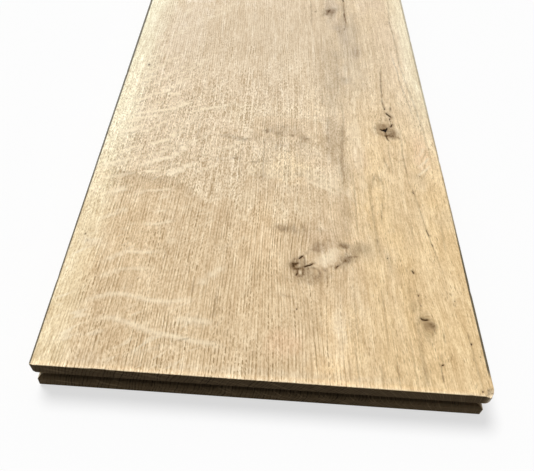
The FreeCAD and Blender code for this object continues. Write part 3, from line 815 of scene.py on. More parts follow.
def outline(number):
    """The sheet's outline, once round from its near left corner: ticks in order, and the side of each."""
    sides = [
        sorted(t for t in number if t[1] == 0 and t[0] < TICKS_X),
        sorted((t for t in number if t[0] == TICKS_X and t[1] < TICKS_Y), key=lambda t: t[1]),
        sorted((t for t in number if t[1] == TICKS_Y and t[0] > 0), reverse=True),
        sorted((t for t in number if t[0] == 0 and t[1] > 0), key=lambda t: -t[1]),
    ]
    return [t for side in sides for t in side], [k for k, side in enumerate(sides) for _ in side]


# ---- The whole board as one mesh ----

# Small chips knocked out of the face's edge: side, place along it, half length, depth
CHIPS = [
    (NEAR, -77, 2.8, 0.42), (NEAR, -83, 1.2, 0.2), (NEAR, 12, 1, 0.16), (NEAR, 61, 1.4, 0.18),
    (NEAR, 98, 1.8, 0.26), (RIGHT, 64, 1.5, 0.22), (RIGHT, 171, 2.2, 0.25), (RIGHT, 322, 1.6, 0.2),
    (LEFT, 52, 1.4, 0.2), (LEFT, 240, 1.8, 0.25),
]
FAR_CHIPS = 26  # as many again at the far end, and along the unseen part of the sides
for _ in range(FAR_CHIPS):
    CHIPS.append((FAR, rng.uniform(-100, 100), rng.uniform(1, 3), rng.uniform(0.1, 0.3)))
    long_side = int(rng.choice([RIGHT, LEFT]))
    CHIPS.append((long_side, rng.uniform(420, LENGTH - 20), rng.uniform(1, 4), rng.uniform(0.12, 0.35)))

# For each row of the milled edge, from the top down: the painted light and shade that its colour is multiplied by
# on the long sides and on the ends (painted shade inside the groove on the long sides, painted light inside it on
# the ends), how far it is worn back with the face's edge, whether it sinks with it, and how much of the face's
# marks it shows
SIDE_PAINTED_SHADING = [1.0] * 5 + [0.42] * 7 + [1.0] * 3
END_PAINTED_SHADING = [0.96] * 5 + [1.6] * 6 + [0.75, 1.15, 1.20, 1.05]
WORN_BACK = [1.0, 1.0, 0.55] + [0] * 12
SINKS = [True] * 3 + [False] * 12
MARKED = [0.9, 0.9**2, 0.9**3, 0.9**4] + [0.25] * 11


def edge_profile():
    """The milled edge below the face, as (inset at a side, inset at an end, height) rows from the top down."""
    floor_z = (THICKNESS - GROOVE_HEIGHT) / 2
    roof_z = (THICKNESS + GROOVE_HEIGHT) / 2
    radius = GROOVE_FLOOR_RADIUS
    lip = [
        (FACE_BEVEL * 0.45, THICKNESS - FACE_BEVEL * 0.16),
        (FACE_BEVEL * 0.12, THICKNESS - FACE_BEVEL * 0.5),
        (0, THICKNESS - FACE_BEVEL),
        (0, roof_z + UPPER_MOUTH_CHAMFER),
        (UPPER_MOUTH_CHAMFER, roof_z),
    ]
    corners = (roof_z - radius, radius, (0, 45, 90)), (floor_z + radius, -radius, (90, 45, 0))
    groove = []
    for middle_z, rise, turns in corners:
        for turn in map(math.radians, turns):
            groove.append((GROOVE_DEPTH - radius + radius * math.sin(turn), middle_z + rise * math.cos(turn)))
    lower_lip = [
        (LOWER_MOUTH_CHAMFER, floor_z),
        (0, floor_z - LOWER_MOUTH_CHAMFER),
        (0, BACK_CHAMFER),
        (BACK_CHAMFER, 0),
    ]
    rows = [(inset, inset, z) for inset, z in lip + groove]
    return rows + [(SIDE_SETBACK + inset, END_SETBACK + inset, z) for inset, z in lower_lip]


def chip_depth(side, x, y):
    """How far the face's edge is worn or chipped back at places round it."""
    run = np.where((side == NEAR) | (side == FAR), x, y)
    depth = 0.07 * noise(run / 7.0, side * 9.0, 4, 3)
    for on, at, half, deep in CHIPS:
        depth = np.where(side == on, np.maximum(depth, deep * np.exp(-(((run - at) / half) ** 4))), depth)
    return depth


def right_knocked(x, y, half, low, radius):
    """The same places with the near right corner of their rectangle rounded off."""
    a, b = (x - half + radius) / radius, (low + radius - y) / radius
    inside = (a > 1e-6) & (b > 1e-6)
    share = np.where(inside, np.maximum(a, b) / np.where(inside, np.hypot(a, b), 1), 1)
    share = 1 - (1 - share) * (0.85 + 0.3 * noise(3 * a, 3 * b + 5, 2))
    round_x, round_y = half - radius + radius * a * share, low + radius - radius * b * share
    return np.where(inside, round_x, x), np.where(inside, round_y, y)


def knocked(x, y, half, low, right_radius, left_radius):
    """The same places with both near corners of their rectangle rounded off."""
    x, y = right_knocked(x, y, half, low, right_radius)
    x, y = right_knocked(-x, y, half, low, left_radius)
    return -x, y


def bruised(x, y):
    """1 at the crushed corner, fading out a little way from it."""
    away = np.hypot(x - HALF_WIDTH, y) + 1.2 * (noise(x / 1.1, y / 1.1, 5) - 0.5)
    return smoothstep(1.5 * BRUISE, 0.5 * BRUISE, away)


def relief(x, y, crack, haze, fleck):
    """How far the face lies below the planer's plane."""
    planed = 0.035 * noise(x / 26.0, y / 42.0, 6, 2)
    torn = 0.16 * haze * noise(x / 1.4, y / 2.0, 7, 2)
    dished = 0.10 * smoothstep(0.25, 0.9, haze)
    return 0.02 * (1 - fleck) + planed + torn + dished + 0.9 * crack**1.4


class Rim:
    """The places round the face's outline: the vertex at each, its side, and how far it is worn and bruised."""

    def __init__(self, ticks, side, number):
        self.at = np.array([number[t] for t in ticks])
        self.side = np.array(side)
        self.x, self.y = place(*np.array(ticks, float).T)
        self.worn = chip_depth(self.side, self.x, self.y)
        self.bruise = bruised(self.x, self.y)


class Skin:
    """The mesh's vertices, and what the wood shows at each.

    marks are crack, haze and pale, and cut is end grain, painted light and shade, and underside.
    """

    def __init__(self):
        self.spots, self.marks, self.cut, self.fleck = [], [], [], []
        self.count = 0

    def add(self, spots, marks, cut, fleck):
        """Adds vertices, and returns their numbers."""
        self.spots.append(np.stack(spots, 1))
        self.marks.append(np.stack(marks, 1))
        self.cut.append(np.stack(cut, 1))
        self.fleck.append(fleck)
        first, self.count = self.count, self.count + len(fleck)
        return np.arange(first, self.count)

    def join(self):
        """All of it as four arrays."""
        return [np.concatenate(parts) for parts in (self.spots, self.marks, self.cut, self.fleck)]


def add_face(skin, x, y, rim):
    """The walked-on face, with its relief and its knocked corners. Returns the marks and flecks of its rim."""
    crack, haze, pale, fleck = painted(x, y)
    depth = relief(x, y, crack, haze, fleck)
    depth[rim.at] = np.maximum(depth[rim.at], rim.worn * 0.5)
    bruise = bruised(x, y)
    depth = depth + 0.35 * bruise * noise(x / 0.9, y / 0.9, 1, 2)
    depth = depth + CRUSHED * bruise
    # painted light: the crushed corner is made pale
    pale = np.maximum(pale, bruise)
    round_x, round_y = knocked(x, y, FACE_HALF_WIDTH, FACE_BEVEL, BRUISE, LEFT_KNOCK[0])
    skin.add((round_x, round_y, THICKNESS - depth), (crack, haze, pale), (0 * x, 1 + 0 * x, 0 * x), fleck)
    return [mark[rim.at] for mark in (crack, haze, pale)], fleck[rim.at]


def add_edge(skin, rim, rim_marks, rim_fleck):
    """The milled edge, ring by ring from the top down. Returns the numbers of each ring's vertices."""
    on_side = (rim.side == RIGHT) | (rim.side == LEFT)
    rings = [rim.at]
    for row, (inset_side, inset_end, z) in enumerate(edge_profile()):
        in_lip = row < LIP_ROWS
        back = rim.worn * WORN_BACK[row]
        drop = (rim.worn * 0.9 + CRUSHED * rim.bruise) * SINKS[row]
        half, low, high = HALF_WIDTH - inset_side, inset_end, LENGTH - inset_end
        x = rim.x * half / FACE_HALF_WIDTH
        y = low + (rim.y - FACE_BEVEL) * (high - low) / FACE_LENGTH
        x = x - np.sign(x) * np.where(on_side, back, 0)
        y = y + np.where(rim.side == NEAR, back, 0) - np.where(rim.side == FAR, back, 0)
        if in_lip:
            x, y = knocked(x, y, half, low, RIGHT_KNOCK[row], LEFT_KNOCK[row])
        crack, haze, pale = (mark * MARKED[row] for mark in rim_marks)
        # painted light on the crushed corner of the lip, which loses its end grain there
        pale = np.maximum(pale, rim.bruise * in_lip)
        end = ~on_side * (row > 0) * (1 - rim.bruise * in_lip)
        # painted shade and light of this row, which its colour is multiplied by
        bright = np.where(on_side, SIDE_PAINTED_SHADING[row], END_PAINTED_SHADING[row])
        rings.append(skin.add((x, y, z - drop), (crack, haze, pale), (end, bright, 0 * x), rim_fleck * 0.5))
    return rings


def board_mesh():
    """One closed mesh of the whole board, with what the wood shows written to its vertices."""
    ticks, faces, number = sheet(divided(True))
    rim_ticks, rim_side = outline(number)
    rim = Rim(rim_ticks, rim_side, number)
    skin = Skin()
    rings = add_edge(skin, rim, *add_face(skin, *place(*ticks.T), rim))

    # The last ring is the underside's rim, so the underside's own vertices leave it out
    back_ticks, back_faces, back_number = sheet(divided(False), rim_ticks)
    shift = {back_number[t]: int(rings[-1][k]) for k, t in enumerate(rim_ticks)}
    inner = [k for k in range(len(back_ticks)) if k not in shift]
    x, y = place(*back_ticks[inner].T)
    none = np.zeros(len(x))
    added = skin.add((x, y, none), (none, painted(x, y)[1] * 0.7, none), (none, 1 + none, 1 + none), none)
    shift.update(zip(inner, added.tolist(), strict=True))

    charts = [FACE] * len(faces)
    for upper, lower in zip(rings[:-1], rings[1:], strict=True):
        faces += np.stack([upper, lower, np.roll(lower, -1), np.roll(upper, -1)], 1).tolist()
        charts += rim_side
    faces += [tuple(shift[k] for k in reversed(face)) for face in back_faces]
    charts += [BACK] * len(back_faces)

    spots, marks, cut, fleck = skin.join()
    x, y, z = spots.T
    brown = figure(x, y)
    lively = (1 - brown) * smoothstep(70, 130, y) * (1 - smoothstep(30, 60, x)) * (1 - smoothstep(190, 300, y))
    cream, colour = base_colour(x, y)
    calm = np.maximum(smoothstep(210, 330, y) * (1 - smoothstep(380, 460, y)), in_knot(x, y))
    mesh = bpy.data.meshes.new("floorboard_oak")
    mesh.from_pydata((np.stack([x, y - HALF_LENGTH, z], 1) * MM).tolist(), [], faces)
    write(mesh, "grain", np.stack(grain(x, y, z), 1))
    write(mesh, "marks", marks)
    write(mesh, "cut", cut)
    write(mesh, "figure", np.stack([brown, fleck, lively], 1))
    write(mesh, "tone", colour)
    write(mesh, "zone", np.stack([golden(x, y), cream, calm], 1))
    return mesh, spots, np.array(charts), rings


def write(mesh, name, values):
    """Three values at each vertex, for the material to read."""
    layer = mesh.attributes.new(name, "FLOAT_VECTOR", "POINT")
    layer.data.foreach_set("vector", np.ascontiguousarray(values, np.float32).ravel())


def lay_out(mesh, spots, charts, rings):
    """A UV map that gives the walked-on face most of the room, above all at the photographed end."""
    loops = np.empty(len(mesh.loops), np.int32)
    mesh.loops.foreach_get("vertex_index", loops)
    totals = np.empty(len(mesh.polygons), np.int32)
    mesh.polygons.foreach_get("loop_total", totals)
    chart = np.repeat(charts, totals)
    x, y, _ = spots[loops].T
    steps = [np.hypot(*(spots[b[0]] - spots[a[0]])[[1, 2]]) for a, b in zip(rings[:-1], rings[1:], strict=True)]
    run = np.concatenate([[0], np.cumsum(steps)])
    girth = np.zeros(len(spots))
    for ring, at in zip(rings, run / run[-1], strict=True):
        girth[ring] = at
    girth = girth[loops]
    along = np.interp(y, [0, SHOWN_LENGTH, LENGTH], [0.01, 0.46, 0.99])
    across = (x + HALF_WIDTH) / (2 * HALF_WIDTH)
    u = np.select(
        [chart == FACE, chart == BACK, chart == RIGHT, chart == LEFT],
        [0.01 + 0.59 * across, 0.62 + 0.15 * across, 0.79 + 0.055 * girth, 0.86 + 0.055 * girth],
        0.93 + 0.06 * girth,
    )
    v = np.select(
        [(chart == FACE) | (chart == RIGHT) | (chart == LEFT), chart == BACK, chart == NEAR],
        [along, 0.01 + 0.98 * y / LENGTH, 0.01 + 0.47 * across],
        0.52 + 0.47 * across,
    )
    layer = mesh.uv_layers.new(name="OFBake")
    layer.uv.foreach_set("vector", np.stack([u, v], 1).astype(np.float32).ravel())


# ---- The material ----

class Graph:
    """Short names for the nodes of one material."""

    def __init__(self, tree):
        self.tree = tree

    def feed(self, socket, value):
        """Sets a socket to a value, or links it to the socket that the value comes from."""
        if isinstance(value, bpy.types.NodeSocket):
            self.tree.links.new(value, socket)
        elif isinstance(value, tuple) and socket.type == "RGBA":
            socket.default_value = (*value, 1)
        else:
            socket.default_value = value

    def node(self, kind, inputs, **settings):
        """A new node with its inputs fed."""
        node = self.tree.nodes.new(kind)
        for key, value in settings.items():
            setattr(node, key, value)
        for key, value in inputs.items():
            self.feed(node.inputs[key], value)
        return node

    def math(self, operation, *values, clamp=False):
        node = self.node("ShaderNodeMath", dict(enumerate(values)), operation=operation, use_clamp=clamp)
        return node.outputs[0]

    def chain(self, operation, values):
        result = values[0]
        for value in values[1:]:
            result = self.math(operation, result, value)
        return result

    def times(self, *values):
        return self.chain("MULTIPLY", values)

    def plus(self, *values):
        return self.chain("ADD", values)

    def most(self, *values):
        return self.chain("MAXIMUM", values)

    def rest(self, value):
        """What is left of 1."""
        return self.math("SUBTRACT", 1.0, value)

    def step(self, value, low, high, to_low=0.0, to_high=1.0):
        """to_low where the value is below low, to_high where it is above high, and a smooth ramp between."""
        inputs = {"Value": value, "From Min": low, "From Max": high, "To Min": to_low, "To Max": to_high}
        return self.node("ShaderNodeMapRange", inputs, interpolation_type="SMOOTHSTEP").outputs["Result"]

    def fade(self, value, low, high):
        """1 where the value is below low, 0 where it is above high."""
        return self.step(value, low, high, 1.0, 0.0)

    def mix(self, share, a, b, blend="MIX"):
        node = self.node("ShaderNodeMix", {}, data_type="RGBA", blend_type=blend)
        for socket, value in zip((node.inputs[0], node.inputs[6], node.inputs[7]), (share, a, b), strict=True):
            self.feed(socket, value)
        return node.outputs[2]

    def shaded(self, colour, value):
        """The colour with all three parts multiplied by one value."""
        grey = self.node("ShaderNodeCombineColor", {0: value, 1: value, 2: value}).outputs[0]
        return self.mix(1.0, colour, grey, "MULTIPLY")

    def toned(self, colour, value):
        """The same, but warmer where it gets darker, as wood is."""
        powers = {k: self.math("POWER", value, power) for k, power in enumerate((0.86, 1.09, 1.40))}
        return self.mix(1.0, colour, self.node("ShaderNodeCombineColor", powers).outputs[0], "MULTIPLY")

    def vector(self, x, y):
        return self.node("ShaderNodeCombineXYZ", {0: x, 1: y}).outputs[0]

    def parts(self, vector):
        return self.node("ShaderNodeSeparateXYZ", {0: vector}).outputs

    def attribute(self, name):
        return self.node("ShaderNodeAttribute", {}, attribute_name=name).outputs["Vector"]

    def scaled(self, vector, x, y, z):
        return self.node("ShaderNodeVectorMath", {0: vector, 1: (x, y, z)}, operation="MULTIPLY").outputs[0]

    def noise(self, vector, detail=2.0, roughness=0.5):
        inputs = {"Vector": vector, "Scale": 1.0, "Detail": detail, "Roughness": roughness}
        return self.node("ShaderNodeTexNoise", inputs).outputs["Fac"]

    def cells(self, vector):
        """How far a place is from the middle of its cell, and a random value for the cell."""
        node = self.node("ShaderNodeTexVoronoi", {"Vector": vector, "Scale": 1.0, "Randomness": 1.0})
        return node.outputs["Distance"], self.parts(node.outputs["Color"])[0]

    def dashes(self, rings, along, at, half, pitch, low, high):
        """Rows of dashes, one row to a ring.

        at is the row's place in its ring, half its half width, pitch the dashes' length, and low and high say
        how much of the row is filled.
        """
        ring = self.math("FLOOR", rings)
        row = self.math("ABSOLUTE", self.math("SUBTRACT", self.math("FRACT", rings), at))
        filled = self.noise(self.vector(self.times(ring, 7.31), self.times(along, 1 / pitch)), 1.0, 0.4)
        return self.times(self.fade(row, 0.4 * half, half), self.step(filled, low, high))


# The growth rings' width, and by how many of them they drift and shiver. One loose pore lies in each cell.
RING_WIDTH = 1.57
RING_DRIFT, RING_SHIVER = 5.0, 0.5
CELL_WIDTH, CELL_LENGTH = 0.62, 4.2
PORE_DEPTH = 0.22


class Wood:
    """What the oak shows at each place, as sockets of its material's graph."""

    def __init__(self, g):
        self.g = g
        self.place = g.attribute("grain")
        self.tone = g.attribute("tone")
        self.gx, self.gy, self.gz = g.parts(self.place)
        self.crack, self.haze, self.pale = g.parts(g.attribute("marks"))
        self.end, self.bright, self.back = g.parts(g.attribute("cut"))
        self.brown, self.fleck, self.lively = g.parts(g.attribute("figure"))
        self.gold, self.cream, self.calm = g.parts(g.attribute("zone"))
        self.fine = self.fibres(1.5, 0.085, 2.0, 0.65)
        self.medium = self.fibres(0.34, 0.020, 3.0, 0.6)
        self.speckle = self.fibres(1.7, 0.9, 2.0, 0.6)
        self.crowd = self.fibres(0.06, 0.030)
        self.grow_rings()
        self.open_pores()
        self.show_rays()

    def fibres(self, across, along, detail=2.0, roughness=0.5):
        """Noise with this many features to a millimetre across the fibres and along them."""
        return self.g.noise(self.g.scaled(self.place, across, along, across), detail, roughness)

    def grow_rings(self):
        """Growth rings round the pith line."""
        g = self.g
        self.radius = g.math("SQRT", g.plus(g.times(self.gx, self.gx), g.times(self.gz, self.gz)))
        self.upright = g.math("DIVIDE", g.math("ABSOLUTE", self.gz), self.radius)
        self.shiver = self.fibres(0.45, 0.03)
        drift = g.times(self.fibres(0.05, 0.006), RING_DRIFT)
        jitter = g.times(self.fibres(0.40, 0.22), g.step(self.lively, 0.0, 1.0, 0.20, 0.50))
        rings = g.plus(g.times(self.radius, 1 / RING_WIDTH), drift, g.times(self.shiver, RING_SHIVER), jitter)
        self.rings = rings
        self.phase = g.math("FRACT", rings)
        self.spring = g.times(g.step(self.phase, 0.0, 0.12), g.fade(self.phase, 0.30, 0.62))
        year = g.node("ShaderNodeTexWhiteNoise", {"W": g.math("FLOOR", rings)}, noise_dimensions="1D")
        self.year = year.outputs["Value"]

    def open_pores(self):
        """Open pores: rows of dashes where the rings stand upright, loose dashes where they lie flat."""
        g, rings, along = self.g, self.rings, self.gy
        self.rows = g.fade(self.upright, 0.50, 0.80)
        long_rows = g.dashes(rings, along, 0.24, 0.23, 9.0, 0.34, 0.54)
        short_rows = g.dashes(rings, g.plus(along, g.times(self.shiver, 9.0)), 0.26, 0.26, 2.2, 0.40, 0.58)
        wide_along = g.plus(along, g.times(self.shiver, 11.0))
        wide_rows = g.dashes(g.times(rings, 0.5), wide_along, 0.40, 0.15, 3.6, 0.38, 0.56)
        thin_rows = g.dashes(g.times(rings, 2.0), along, 0.45, 0.30, 2.6, 0.46, 0.62)
        long_share = g.times(g.step(self.crowd, 0.42, 0.60), g.step(self.lively, 0.0, 0.7, 0.8, 0.15))
        main_rows = g.plus(g.times(long_rows, long_share), g.times(short_rows, g.rest(long_share)))
        wide_rows = g.times(wide_rows, g.step(self.lively, 0.1, 0.8, 0.15, 0.9))
        row_pores = g.most(main_rows, g.times(thin_rows, 0.50), wide_rows)
        row_pores = g.times(row_pores, g.step(self.year, 0.0, 1.0, 0.65, 1.1), self.rows)
        loose, chance = g.cells(g.scaled(self.place, 1 / CELL_WIDTH, 1 / CELL_LENGTH, 1 / CELL_WIDTH))
        likely = g.times(g.plus(g.times(self.spring, 0.45), 0.16), g.step(self.gold, 0.0, 1.0, 1.0, 0.75))
        loose_pores = g.times(g.fade(loose, 0.16, 0.44), g.math("LESS_THAN", chance, likely))
        loose_pores = g.times(loose_pores, g.step(self.rows, 0.0, 1.0, 0.90, 0.40))
        self.pores = g.times(
            g.most(row_pores, loose_pores),
            g.step(self.lively, 0.0, 1.0, 1.0, 0.95),
            g.step(self.fleck, 0.15, 0.75, 1.0, 0.10),
            g.step(self.cream, 0.1, 0.8, 1.0, 0.35),
            g.step(self.calm, 0.0, 1.0, 1.0, 0.70),
            g.step(self.fibres(0.11, 0.05), 0.3, 0.65, 0.55, 1.15),
        )

    def show_rays(self):
        """Rays: silky ripples where the face runs nearly along them, fine lines on the end grain."""
        g, gx, gy = self.g, self.gx, self.gy
        bend = g.times(self.fibres(0.03, 0.03, 1.0), 7.0)
        ripple_u = g.plus(g.times(gx, 0.070), g.times(gy, 0.046))
        ripple_v = g.plus(g.times(gx, -0.20), g.times(gy, 0.31), bend)
        ripple = g.step(g.noise(g.vector(ripple_u, ripple_v), 1.0, 0.4), 0.56, 0.72)
        broken = g.step(self.fibres(0.035, 0.022), 0.44, 0.62)
        ripple = g.times(ripple, broken, g.fade(self.upright, 0.22, 0.45), 0.70)
        self.ripple = g.most(ripple, g.times(self.fleck, g.step(self.speckle, 0.25, 0.6, 0.85, 1.0)))
        spoke_at = g.vector(g.times(g.math("ARCTAN2", self.gz, gx), 130.0), g.times(self.radius, 0.05))
        self.spokes = g.times(g.step(g.noise(spoke_at, 1.0), 0.55, 0.68), self.end)

    def shade(self):
        """How light or dark the grain makes the wood: rings, years, streaks, dashes, mottle and rows of pores."""
        g = self.g
        quiet = g.rest(g.times(self.calm, 0.65))
        patches = g.times(g.step(self.fibres(0.27, 0.15, 3.0, 0.6), 0.3, 0.7, -0.08, 0.07), quiet)
        patches = g.times(patches, g.step(self.lively, 0.0, 1.0, 1.0, 0.65))
        clouds = g.times(g.step(self.fibres(0.10, 0.055), 0.3, 0.7, -0.05, 0.05), quiet)
        streaks = g.step(self.fibres(0.62, 0.0065, 3.0, 0.6), 0.3, 0.7, -0.065, 0.06)
        streaks = g.times(streaks, g.step(self.calm, 0.0, 1.0, 0.45, 1.0))
        by_figure = g.times(self.lively, 0.12), g.times(self.brown, 0.03)
        strength = g.plus(0.07, g.step(self.gx, -165.0, -120.0, 0.04, 0.0), *by_figure)
        dashes = g.times(g.step(self.fibres(1.40, 0.52, 1.0), 0.27, 0.60, -1.35, 0.75), strength)
        wave = g.times(
            g.math("COSINE", g.times(g.plus(self.rings, -0.24), 2 * math.pi)),
            self.rows,
            g.step(self.cream, 0.1, 0.8, -0.062, -0.035),
            g.step(self.calm, 0.0, 1.0, 1.0, 0.5),
            g.step(self.crowd, 0.3, 0.65, 0.6, 1.25),
            g.step(self.haze, 0.05, 0.35, 1.0, 0.2),
        )
        shade = g.times(
            g.step(self.phase, 0.35, 1.0, 1.03, 0.95),
            g.step(self.year, 0.0, 1.0, 0.96, 1.04),
            g.step(self.fine, 0.25, 0.75, 0.83, 1.17),
            g.step(self.medium, 0.3, 0.7, 0.945, 1.055),
            g.step(self.speckle, 0.26, 0.63, 0.89, 1.06),
            g.plus(patches, clouds, streaks, dashes, wave, 1.0),
        )
        smooth = g.step(self.pale, 0.3, 0.9, 0.0, 0.6)
        return g.plus(g.times(shade, g.rest(smooth)), smooth)

    def colour(self):
        """The wood's colour, with all that is in it, and the painted light and shade of the milled edge."""
        g = self.g
        colour = g.mix(g.times(self.pale, g.step(self.medium, 0.35, 0.6, 0.70, 1.0)), self.tone, PALE)
        colour = g.mix(g.step(self.fibres(0.045, 0.014), 0.3, 0.7, 0.0, 0.12), colour, PALE)
        colour = g.toned(colour, self.shade())
        lines = g.step(self.fibres(0.85, 0.020, 3.0, 0.6), 0.56, 0.74)
        colour = g.mix(g.times(lines, g.step(self.gold, 0.0, 1.0, 0.07, 0.13)), colour, HAZE)
        colour = g.mix(g.times(self.pores, 0.78), colour, PORE)
        colour = g.mix(g.times(self.ripple, 0.92), colour, FLECK)
        colour = g.mix(g.times(self.haze, g.step(self.speckle, 0.25, 0.75, 1.12, 0.82)), colour, HAZE)
        # painted shade in the cracks, darkest in their middles; the dark specks use it too
        colour = g.mix(g.step(self.crack, 0.06, 0.62), colour, CHECK)
        colour = g.mix(g.step(self.crack, 0.62, 1.0), colour, CRACK)
        # the end grain's colour carries painted shade of the near end
        end_colour = g.mix(g.times(self.spring, 0.30), SHADED_END_GRAIN, HAZE)
        end_colour = g.mix(g.times(self.spokes, 0.22), end_colour, BROWN)
        end_colour = g.mix(g.times(self.pores, 0.6), end_colour, CRACK)
        colour = g.mix(self.end, colour, end_colour)
        # painted light and shade on the milled edge, and the duller underside
        return g.shaded(colour, g.times(self.bright, g.step(self.back, 0.0, 1.0, 1.0, 0.90)))

    def painted_edge_highlight_and_line(self, colour):
        """The colour with a painted highlight strip along the near end, and a thin dark line along both long
        edges.
        """
        g = self.g
        across, along, height = g.parts(g.node("ShaderNodeTexCoord", {}).outputs["Object"])
        from_end = g.plus(along, HALF_LENGTH * MM)
        on_right = g.step(across, -0.01, 0.01)
        at_face = g.step(height, (THICKNESS - 1.2) * MM, (THICKNESS - 0.7) * MM)
        # the line widens over the photographed stretch, and on the right also towards the near corner
        wider = g.times(g.step(from_end, 60 * MM, 110 * MM, 0.45 * MM, 0.0), on_right)
        line = g.plus(g.math("ABSOLUTE", across), g.step(from_end, 0.0, SHOWN_LENGTH * MM, 0.0, 0.8 * MM), wider)
        line = g.step(line, (HALF_WIDTH - 1.08) * MM, (HALF_WIDTH - 0.80) * MM)
        line = g.times(line, at_face, g.step(g.most(self.end, self.pale), 0.3, 0.9, 0.88, 0.0))
        # it is fainter on the right than on the left, but for the stretch near the corner
        faint = g.plus(g.step(from_end, 80 * MM, 150 * MM, 0.0, 0.5), g.fade(from_end, 8 * MM, 15 * MM))
        line = g.times(line, g.rest(g.times(faint, on_right)))
        # a painted highlight along the near end of the face
        highlight_strip = g.times(g.step(from_end, 0.9 * MM, 4.0 * MM, 0.25, 0.0), g.step(across, 0.03, 0.09, 1.0, 0.5))
        highlight_strip = g.times(highlight_strip, at_face, g.fade(self.end, 0.3, 0.9))
        return g.mix(line, g.shaded(colour, g.plus(highlight_strip, 1.0)), DARK_EDGE_LINE)

    def roughness(self):
        """Rougher in pores, cracks, knots and on the end grain, silkier on the rays."""
        g = self.g
        roughness = g.plus(0.50, g.times(self.pores, 0.25), g.times(self.ripple, -0.10))
        rough_places = g.most(self.crack, self.end, self.haze)
        return g.math("ADD", roughness, g.times(rough_places, 0.30), clamp=True)

    def height(self):
        """Every pore a shallow furrow, and planer chatter on the unsanded back."""
        g = self.g
        chatter = g.times(g.math("SINE", g.times(self.gy, 1.15)), self.back, 0.35)
        furrows = g.plus(g.times(self.pores, -1.0), g.times(self.fine, 0.55), g.times(self.spring, -0.2))
        return g.plus(furrows, g.times(self.speckle, 0.3), chatter)


def new_material(name):
    """A material, its graph and its shader."""
    material = bpy.data.materials.new(name)
    material.use_nodes = True
    return material, Graph(material.node_tree), material.node_tree.nodes["Principled BSDF"]


def oak():
    """The oiled oak of the whole board."""
    material, g, shader = new_material("oiled_oak")
    wood = Wood(g)
    bump = g.node("ShaderNodeBump", {"Height": wood.height(), "Strength": 0.6, "Distance": PORE_DEPTH * MM})
    g.feed(shader.inputs["Base Color"], wood.painted_edge_highlight_and_line(wood.colour()))
    g.feed(shader.inputs["Roughness"], wood.roughness())
    g.feed(shader.inputs["Normal"], bump.outputs[0])
    shader.inputs["Specular IOR Level"].default_value = 0.18
    return material


def link(name, data):
    """A new object in the scene."""
    thing = bpy.data.objects.new(name, data)
    bpy.context.collection.objects.link(thing)
    return thing


# ---- The board ----

mesh, spots, charts, rings = board_mesh()
lay_out(mesh, spots, charts, rings)
mesh.validate()
mesh.shade_smooth()
mesh.set_sharp_from_angle(angle=math.radians(38))
mesh.materials.append(oak())
floorboard = link("floorboard", mesh)
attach(floorboard, "root")
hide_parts(BOARD)


# ---- The studio, in metres ----

FLOOR_GLOW = 0.64
FLOOR_SEEN = (0.34, 0.34, 0.34)  # the floor's colour as the camera sees it
FLOOR_FELT = (0.20, 0.19, 0.18)  # and as the light that it throws back on the board
FLOOR_HALF = 12.0
FLOOR_Z = -0.0002

# The world lights little from the horizon and more from above, and with the lamp it gives a strength of 1
HORIZON = 0.06
ZENITH = 0.30
SKY = HORIZON + 0.7 * (ZENITH - HORIZON)

# A broad soft lamp high behind the board and to its left, so that the near end lies in its own shade
TO_LAMP = (-0.28, 0.40, 1.0)
LAMP_SPREAD = 26

# The camera stands over the near end, a little to the left, and is rolled as the photograph is
CAMERA_LENS = 40.489
CAMERA_PLACE = (-0.01582, -HALF_LENGTH * MM - 0.13683, 0.27411)
CAMERA_RIGHT = (0.99607, 0.03321, 0.08209)
CAMERA_DOWN = (0.07950, -0.74366, -0.66382)
CAMERA_AHEAD = (0.03900, 0.66774, -0.74338)


def to_the_eye(g):
    """1 for the rays that show something, straight or in a reflection, and 0 for those that light."""
    path = g.node("ShaderNodeLightPath", {}).outputs
    return g.most(path["Is Camera Ray"], path["Is Glossy Ray"], path["Is Transmission Ray"])


def placed(x_axis, y_axis, z_axis, origin=(0, 0, 0)):
    """The matrix that turns an object's axes to these and moves it to the origin given."""
    rows = np.stack([x_axis, y_axis, z_axis, origin], 1).tolist()
    return Matrix(rows + [[0, 0, 0, 1]])


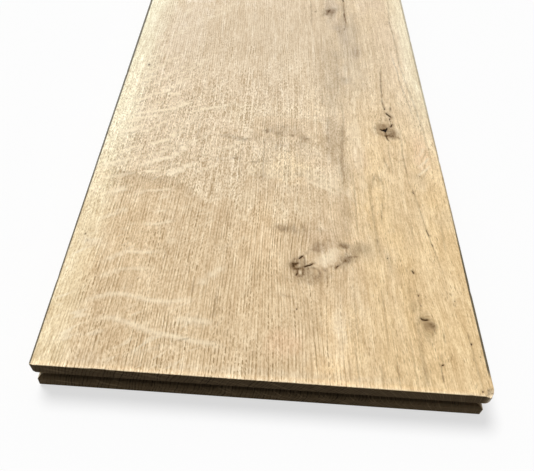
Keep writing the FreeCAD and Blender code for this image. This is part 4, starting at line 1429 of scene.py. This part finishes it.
def lay_floor():
    """White paper under the board, which glows for the eye alone."""
    corners = [(x * FLOOR_HALF, y * FLOOR_HALF, FLOOR_Z) for x, y in ((-1, -1), (1, -1), (1, 1), (-1, 1))]
    mesh = bpy.data.meshes.new("studio_floor")
    mesh.from_pydata(corners, [], [(0, 1, 2, 3)])
    material, g, shader = new_material("studio_paper")
    seen = to_the_eye(g)
    g.feed(shader.inputs["Base Color"], g.mix(seen, FLOOR_FELT, FLOOR_SEEN))
    g.feed(shader.inputs["Emission Color"], (1.0, 1.0, 1.0))
    g.feed(shader.inputs["Emission Strength"], g.times(seen, FLOOR_GLOW))
    shader.inputs["Roughness"].default_value = 0.9
    shader.inputs["Specular IOR Level"].default_value = 0.0
    mesh.materials.append(material)
    return link("studio_floor", mesh)


def light_up():
    """The world and the lamp."""
    world = bpy.data.worlds.new("studio")
    world.use_nodes = True
    g = Graph(world.node_tree)
    background = world.node_tree.nodes["Background"]
    up = g.parts(g.node("ShaderNodeTexCoord", {}).outputs["Generated"])[2]
    background.inputs["Color"].default_value = (1.0, 1.0, 1.0, 1.0)
    g.feed(background.inputs["Strength"], g.most(g.step(up, 0.0, 1.0, HORIZON, ZENITH), to_the_eye(g)))
    bpy.context.scene.world = world

    to_lamp = np.array(TO_LAMP)
    to_lamp /= np.linalg.norm(to_lamp)
    lamp_right = np.cross([0, 0, 1], to_lamp)
    lamp_right /= np.linalg.norm(lamp_right)
    data = bpy.data.lights.new("softbox", "SUN")
    data.energy = math.pi * (1 - SKY) / to_lamp[2]
    data.angle = math.radians(LAMP_SPREAD)
    link("softbox", data).matrix_world = placed(lamp_right, np.cross(to_lamp, lamp_right), to_lamp)


def set_camera():
    """The camera of the photograph, whose place and turn were fitted to the board's edges."""
    data = bpy.data.cameras.new("camera")
    data.sensor_width = 36.0
    data.lens = CAMERA_LENS
    data.clip_start = 0.01
    camera = link("camera", data)
    camera.matrix_world = placed(CAMERA_RIGHT, -np.array(CAMERA_DOWN), -np.array(CAMERA_AHEAD), CAMERA_PLACE)
    bpy.context.scene.camera = camera


floor = lay_floor()
light_up()
set_camera()
bpy.context.scene.view_settings.view_transform = "Standard"
